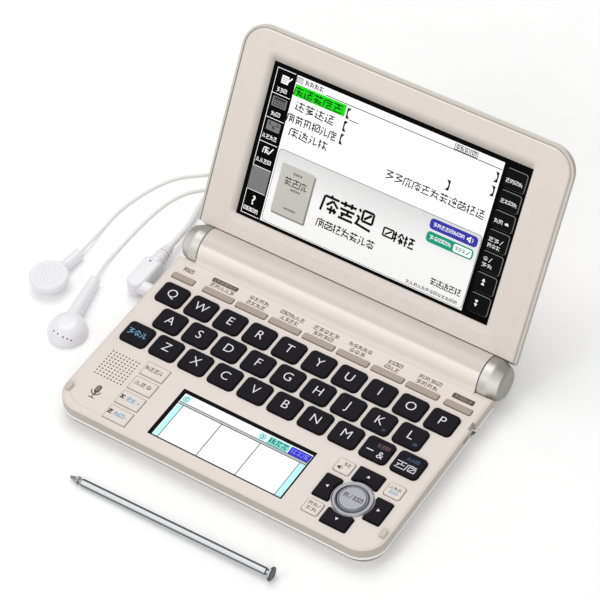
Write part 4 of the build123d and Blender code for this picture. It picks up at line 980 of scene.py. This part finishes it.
with on_lid("right_edges", "grey", 0):
    for high, low in zip(RIGHT_LINES, RIGHT_LINES[1:]):
        round_bar(RIGHT_EDGE, low + 0.45, RIGHT_END, high - 0.45, 1.1)
with on_lid("right_faces", "black", 1):
    for high, low in zip(RIGHT_LINES, RIGHT_LINES[1:]):
        round_bar(RIGHT_EDGE - 0.1, low + 0.5, RIGHT_END - 0.3, high - 0.75, 0.9)
with on_lid("right_keys", "white", 2):
    each(signs, (48.5, 55.9, 75.0, 1.7, 0.1), (48.8, 56.0, 66.7, 1.7, 0.1),
         (48.6, 52.6, 58.3, 1.8, 0.1))
    bar(53.3, 58.8, 53.8, 59.6)
    triangle(54.3, 59.2, 0.8, 0)
    each(signs, (48.6, 53.4, 50.6, 1.7, 0.1), (48.8, 54.4, 48.1, 1.7, 0.1),
         (48.8, 51.0, 42.5, 1.7, 0.1), (48.8, 53.6, 40.0, 1.7, 0.1))
    each(stroke, (53.7, 50.6, 54.7, 52.4, 0.22), (51.4, 42.4, 52.4, 44.3, 0.22))
    each(triangle, (51.6, 34.8, 0.85, 0), (51.6, 33.3, 0.85, 0),
         (51.2, 24.4, 0.85, math.pi), (51.2, 25.9, 0.85, math.pi))

# %% [markdown]
# ## Lower display
# The small display on the deck is a writing pad of three fields with a cyan strip at each end
# and two coloured tags. It is printed in the same way, on the deck's window.

# %% Stack the writing pad
PAD_FACE = 9.4  # the deck window's face


def on_pad(name, tone, level):
    """A print on the deck's window in a display colour."""
    return one_print("pad_" + name, lit[tone], "base", lift(PAD_FACE + level * INK))


with on_pad("background", "white", 0):
    bar(-29.8, -46.6, 28.7, -23.6)
with on_pad("end_strips", "cyan", 1):
    each(bar, (-29.6, -46.5, -27.1, -28.9), (26.2, -46.5, 28.7, -28.9))
with on_pad("rules", "line_grey", 1):
    each(bar, (-29.6, -27.95, 28.7, -27.6), (-29.6, -29.1, 28.7, -28.7),
         (-9.6, -46.4, -9.2, -28.8), (8.1, -46.4, 8.5, -28.8), (-27.3, -46.5, -26.95, -28.7),
         (25.95, -46.5, 26.3, -28.7), (-29.8, -46.6, 28.7, -46.3))
with on_pad("rule_shade", "pale_grey", 1):
    bar(-29.6, -28.7, 28.7, -27.95)

# %% Draw the pad's signs and tags
STEP_SIGNS = ((-27.9, 1), (7.3, -1))  # place in x, way that the arrow head points
STEP_Y, STEP_RADIUS = -25.8, 1.15
with on_pad("step_boxes", "cyan", 1):
    each(round_bar, (-29.5, -27.5, -26.3, -24.0, 0.8), (5.6, -27.6, 9.0, -24.1, 0.8))
with on_pad("step_signs", "line_grey", 2):
    for x, way in STEP_SIGNS:
        arc(x, STEP_Y, STEP_RADIUS, 0, 36, 10, 0, 0.2)
        for end in (0.7, -0.7):
            stroke(x - way * 0.5, STEP_Y, x + way * 0.4, STEP_Y + end, 0.3)
with on_pad("tag_teal", "pale_teal", 1):
    round_bar(9.8, -27.6, 19.2, -24.0, 0.3)
with on_pad("tag_blue", "bright_blue", 1):
    round_bar(19.5, -27.6, 28.6, -24.0, 0.3)
with on_pad("tag_text", "dark_teal", 2):
    signs(10.4, 18.9, -27.0, 2.5, 0.14)
with on_pad("tag_light_text", "pale_violet", 2):
    signs(20.2, 28.1, -27.0, 2.5, 0.09)

# %% [markdown]
# ## Labels
# Everything else on the deck is pad-printed: dark labels above the function keys, marks on
# the small keys, and a microphone sign. The marks are strokes that say nothing.

# %% Print the deck's labels
DECK = 9.5  # height of the deck's flat
FUNCTION_KEY_X, FUNCTION_KEY_PITCH = -47.3, 15.8
LABEL_HALVES = ((4.6, 4.4), (5.6, 4.2), (5.9, 4.6), (5.4, 3.6), (3.3, 3.2), (5.1, 4.9))
dice.seed(23)


def on_deck(name, finish, level=0):
    return one_print(name, finish, "base", lift(DECK + level * INK))


with on_deck("labels_function_keys", grey_ink):
    each(signs, (-67.1, -62.3, 28.0, 2.2, 0.17), (-53.5, -41.9, 26.9, 2.0, 0.15))
    for n, halves in enumerate(LABEL_HALVES, 1):
        x = FUNCTION_KEY_X + FUNCTION_KEY_PITCH * n
        for half, y in zip(halves, (29.3, 26.7)):
            signs(x - half, x + half, y, 2.0, 0.15)
with on_deck("labels_dark_boxes", brown_ink):
    each(round_bar, (-54.0, 29.4, -42.0, 31.6, 0.5), (58.3, 27.6, 67.8, 30.1, 0.5))
with on_deck("labels_box_text", taupe_keys, 1):
    each(signs, (-53.3, -42.7, 29.8, 1.4, 0.12), (59.2, 66.9, 28.1, 1.5, 0.12))

# %% Print the microphone sign
with on_deck("label_microphone", brown_ink):
    round_bar(-61.2, -41.3, -59.0, -37.4, 1.05)
    arc(-60.1, -40.4, 2.0, 180, 22.5, 8, 0.1, 0.4)
    each(bar, (-60.3, -43.8, -59.9, -42.3), (-61.4, -44.2, -58.8, -43.8))
with on_deck("label_microphone_slots", shade_ink, 1):
    for y in (-38.5, -39.3, -40.1):
        bar(-60.9, y, -59.7, y + 0.28)

# %% [markdown]
# Each small key has its own print, drawn from the key's centre, because it presses by itself.
# Brown signs name the key, blue ones its second use.

# %% Print the small keys
def on_key(name, key, finish):
    """A print on one key, in the key's own plane and from its centre."""
    centre = middle(key)
    place = Matrix.Translation(mm(centre.x, centre.y, top(key)))
    return one_print("mark_" + name, finish, key, place)


with on_key("side_1", "side_key_1", brown_ink):
    signs(-4.7, 3.7, -0.7, 2.0, 0.13)
with on_key("side_2", "side_key_2", brown_ink):
    signs(-3.9, 3.9, -0.6, 2.0, 0.13)
for key, plus in (("side_3", True), ("side_4", False)):
    with on_key("%s_dark" % key, key.replace("side", "side_key"), brown_ink):
        sign(-4.7, -0.8, 1.9, 2.0, 0.25)
    with on_key("%s_blue" % key, key.replace("side", "side_key"), blue_ink):
        signs(-2.0, 2.6, -0.9, 2.0, 0.17, gap=0.05)
        bar(3.1, -0.05, 4.1, 0.2)
        if plus:
            bar(3.48, -0.45, 3.73, 0.6)
with on_key("sound", "sound_key", brown_ink):
    signs(-0.7, 2.5, 0.3, 1.5, 0.13)
    each(bar, (-2.3, -1.6, -1.7, -0.6), (-1.2, -1.8, -0.9, -0.4), (-0.3, -1.6, -0.1, -0.6))
    each(stroke, (-1.7, -1.1, -0.9, -0.3, 0.5), (-1.7, -1.1, -0.9, -1.9, 0.5))
with on_key("jump_dark", "jump_key", brown_ink):
    signs(-2.6, 2.7, 0.2, 1.5, 0.12)
with on_key("jump_blue", "jump_key", blue_ink):
    signs(-1.9, 2.0, -1.9, 1.5, 0.15)
with on_key("back", "back_key", brown_ink):
    each(signs, (-2.5, 1.7, 0.3, 1.7, 0.12), (-2.2, 2.6, -2.0, 1.7, 0.12))
    stroke(1.9, 0.3, 2.6, 2.0, 0.2)
with on_key("centre", "centre_button", brown_ink):
    sign(-4.0, -0.9, 1.9, 2.2, 0.14)
    stroke(-1.6, -0.9, -0.5, 1.2, 0.25)
    signs(0.0, 4.1, -0.9, 2.2, 0.14, gap=0.08)

# %% [markdown]
# The centre button stands in a round gap. A thin plated skirt on the button fills most of it,
# which is what keeps crumbs out. It is an open tube that is given a wall's thickness. The four
# arrow keys round it have a white triangle each.

# %% Put a skirt round the centre button
SKIRT_RADIUS, SKIRT_TALL, SKIRT_WALL, SKIRT_Z = 5.84, 0.5, 0.42, 9.72
centre = middle("centre_button")
with one_print("button_skirt", skirt_metal, "centre_button") as skirt:
    bpy.ops.mesh.primitive_cylinder_add(
        vertices=64, radius=SKIRT_RADIUS * MM, depth=SKIRT_TALL * MM, end_fill_type="NOTHING",
        location=mm(centre.x, centre.y, SKIRT_Z))
    bpy.ops.mesh.solidify(thickness=SKIRT_WALL * MM)
print("skirt", [round(v / MM, 2) for v in skirt.dimensions])

# %% Print the arrow keys
ARROWS = {"arrow_up": 0, "arrow_left": math.pi / 2, "arrow_down": math.pi,
          "arrow_right": -math.pi / 2}
for key, angle in ARROWS.items():
    with on_key(key, key, white_ink):
        triangle(0, 0, 0.8, angle)

# %% [markdown]
# ## Small marks of the earphones and the deck
# The earbud that lies on its back shows its grille: rings of tiny holes, drawn as faint dots of
# painted shade. The other one lies face down and shows a row of vents in its dome, drawn as dark
# dots of painted shade. Their places are found by casting rays down on the dome. The plug has a
# dimple, drawn as a dot of painted shade, and ribs let its sleeve flex. On the deck a fine line
# of painted shade runs round the corner, where the shell is stepped.

# %% Draw the earbuds' grille and vents
BUD_1 = (-113.8, 0.4)
GRILLE_RINGS = ((1.3, 6), (2.7, 12), (4.1, 17), (5.5, 23))  # radius and number of holes
HOLE_R, VENT_R, DOT_TALL = 0.21, 0.34, 0.1
VENTS = ((-94.7, -22.1), (-92.4, -22.5), (-90.0, -22.5), (-88.3, -22.0), (-87.0, -21.4))
ABOVE = 20  # height from which the rays are cast


def disc(radius, depth, vertices, location, rotation=(0, 0, 0)):
    bpy.ops.mesh.primitive_cylinder_add(vertices=vertices, radius=radius * MM, depth=depth * MM,
                                        location=location, rotation=rotation)


# Painted shade of the grille's holes
with one_print("earbud_1_grille", faint_ink, "base",
               Matrix.Translation(mm(*BUD_1, top("earbud_1")))):
    for radius, count in GRILLE_RINGS:
        for i in range(count):
            a = 2 * math.pi * i / count
            disc(HOLE_R, INK, 6, mm(radius * math.cos(a), radius * math.sin(a), INK / 2))
# Painted shade of the vents
with one_print("earbud_2_vents", brown_ink, "base"):
    for x, y in VENTS:
        _, spot, out, _ = solids["earbud_2"].ray_cast(Vector((x, y, ABOVE)) * MM,
                                                      Vector((0, 0, -1)))
        disc(VENT_R, DOT_TALL, 10, spot, out.to_track_quat("Z", "Y").to_euler())
        print("vent at height", round(spot.z / MM, 2))

# %% Draw the plug's ribs and dimple, and the corner line
SLEEVE_START, SLEEVE_END = 28.7, PLUG_END[1]  # the sleeve's ends in y
SLEEVE_R, SLEEVE_END_R = 3.1, 1.8
RIBS, RIB_R, FIRST_RIB, RIB_PITCH = 5, 0.32, 29.9, 1.9
DIMPLE, DIMPLE_R = (-81.9, 26.4), 0.45
CORNER_LINE = ((-70.4, -39.5), (-70.2, -42.6), (-69.3, -45.0), (-67.6, -47.1), (-65.2, -48.6),
               (-62.0, -49.3), (-51.5, -49.3))
with one_print("earphone_plug_ribs", white_vinyl, "base"):
    for i in range(RIBS):
        y = FIRST_RIB + i * RIB_PITCH
        along = (y - SLEEVE_START) / (SLEEVE_END - SLEEVE_START)
        bpy.ops.mesh.primitive_torus_add(
            major_radius=(SLEEVE_R - (SLEEVE_R - SLEEVE_END_R) * along) * MM,
            minor_radius=RIB_R * MM, major_segments=32, minor_segments=8,
            location=mm(PLUG_END[0], y, PLUG_END[2]), rotation=(math.pi / 2, 0, 0))
# Painted shade of the dimple
with one_print("earphone_plug_dimple", grey_ink, "base"):
    disc(DIMPLE_R, DOT_TALL, 12, mm(*DIMPLE, top("earphone_plug")))
# Painted shade where the shell is stepped
with on_deck("label_corner_line", shade_ink):
    for start, end in zip(CORNER_LINE, CORNER_LINE[1:]):
        stroke(*start, *end, 0.16)

# %% [markdown]
# ## Table and light
# The table is a plain pale sheet that keeps the object's shadow. Seen by the camera, in metal
# or through glass it also glows a little, so that it comes out white without more light on
# the object. One broad soft light hangs over the object, two weaker ones stand in front at
# the left and at the right, and the pale surroundings do the rest.

# %% Table
TABLE_WIDE = 6  # metres
TABLE_GLOW = 0.16


def pale_table():
    """Pale laminate, whose glow only counts for what the camera sees or mirrors."""
    finish = shader("pale_table_laminate", Roughness=0.8, Specular_IOR_Level=0.1)
    nodes = finish.node_tree.nodes
    drift = {"Factor": noise(finish, 25.0), "A": colour("#F2F2F2"), "B": colour("#F5F5F5")}
    tune(finish, Base_Color=add_node(finish, "Mix", drift, data_type="RGBA"))
    path = add_node(finish, "LightPath").outputs
    seen = path["Is Camera Ray"]
    for ray in ("Is Glossy Ray", "Is Transmission Ray"):
        seen = add_node(finish, "Math", {0: seen, 1: path[ray]}, operation="MAXIMUM")
    plain = nodes["Principled BSDF"]
    glow = add_node(finish, "Emission", {"Color": (1, 1, 1, 1), "Strength": TABLE_GLOW})
    both = add_node(finish, "AddShader", {0: plain, 1: glow})
    feed(nodes["Material Output"],
         {"Surface": add_node(finish, "MixShader", {0: seen, 1: plain, 2: both})})
    return finish


deselect()
bpy.ops.mesh.primitive_plane_add(size=TABLE_WIDE, location=(0, 0, 0))
table = bpy.context.object
table.name = "table"
table.data.materials.append(pale_table())
print("table", TABLE_WIDE, "m wide")

# %% World and lamps
world = bpy.data.worlds.new("studio")
bpy.context.scene.world = world
world.use_nodes = True
sky = world.node_tree.nodes["Background"]
sky.inputs["Color"].default_value = (1, 1, 1, 1)
sky.inputs["Strength"].default_value = 0.5


def soft_lamp(name, place, aim_at, size, watts):
    """A square area lamp that points at a spot on the object, lengths in millimetres."""
    bpy.ops.object.light_add(type="AREA", location=Vector(place) * MM)
    lamp = bpy.context.object
    lamp.name = name
    lamp.data.size = size * MM
    lamp.data.energy = watts
    lamp.rotation_euler = (Vector(aim_at) - Vector(place)).to_track_quat("-Z", "Y").to_euler()
    print(name, "gives", watts, "W")


soft_lamp("overhead_softbox", (-250, 250, 900), (0, 20, 0), 700, 3.75)
soft_lamp("front_fill", (500, -800, 500), (0, 0, 30), 600, 1.7)
soft_lamp("window_light", (-460, -830, 730), (0, 30, 0), 420, 1.6)
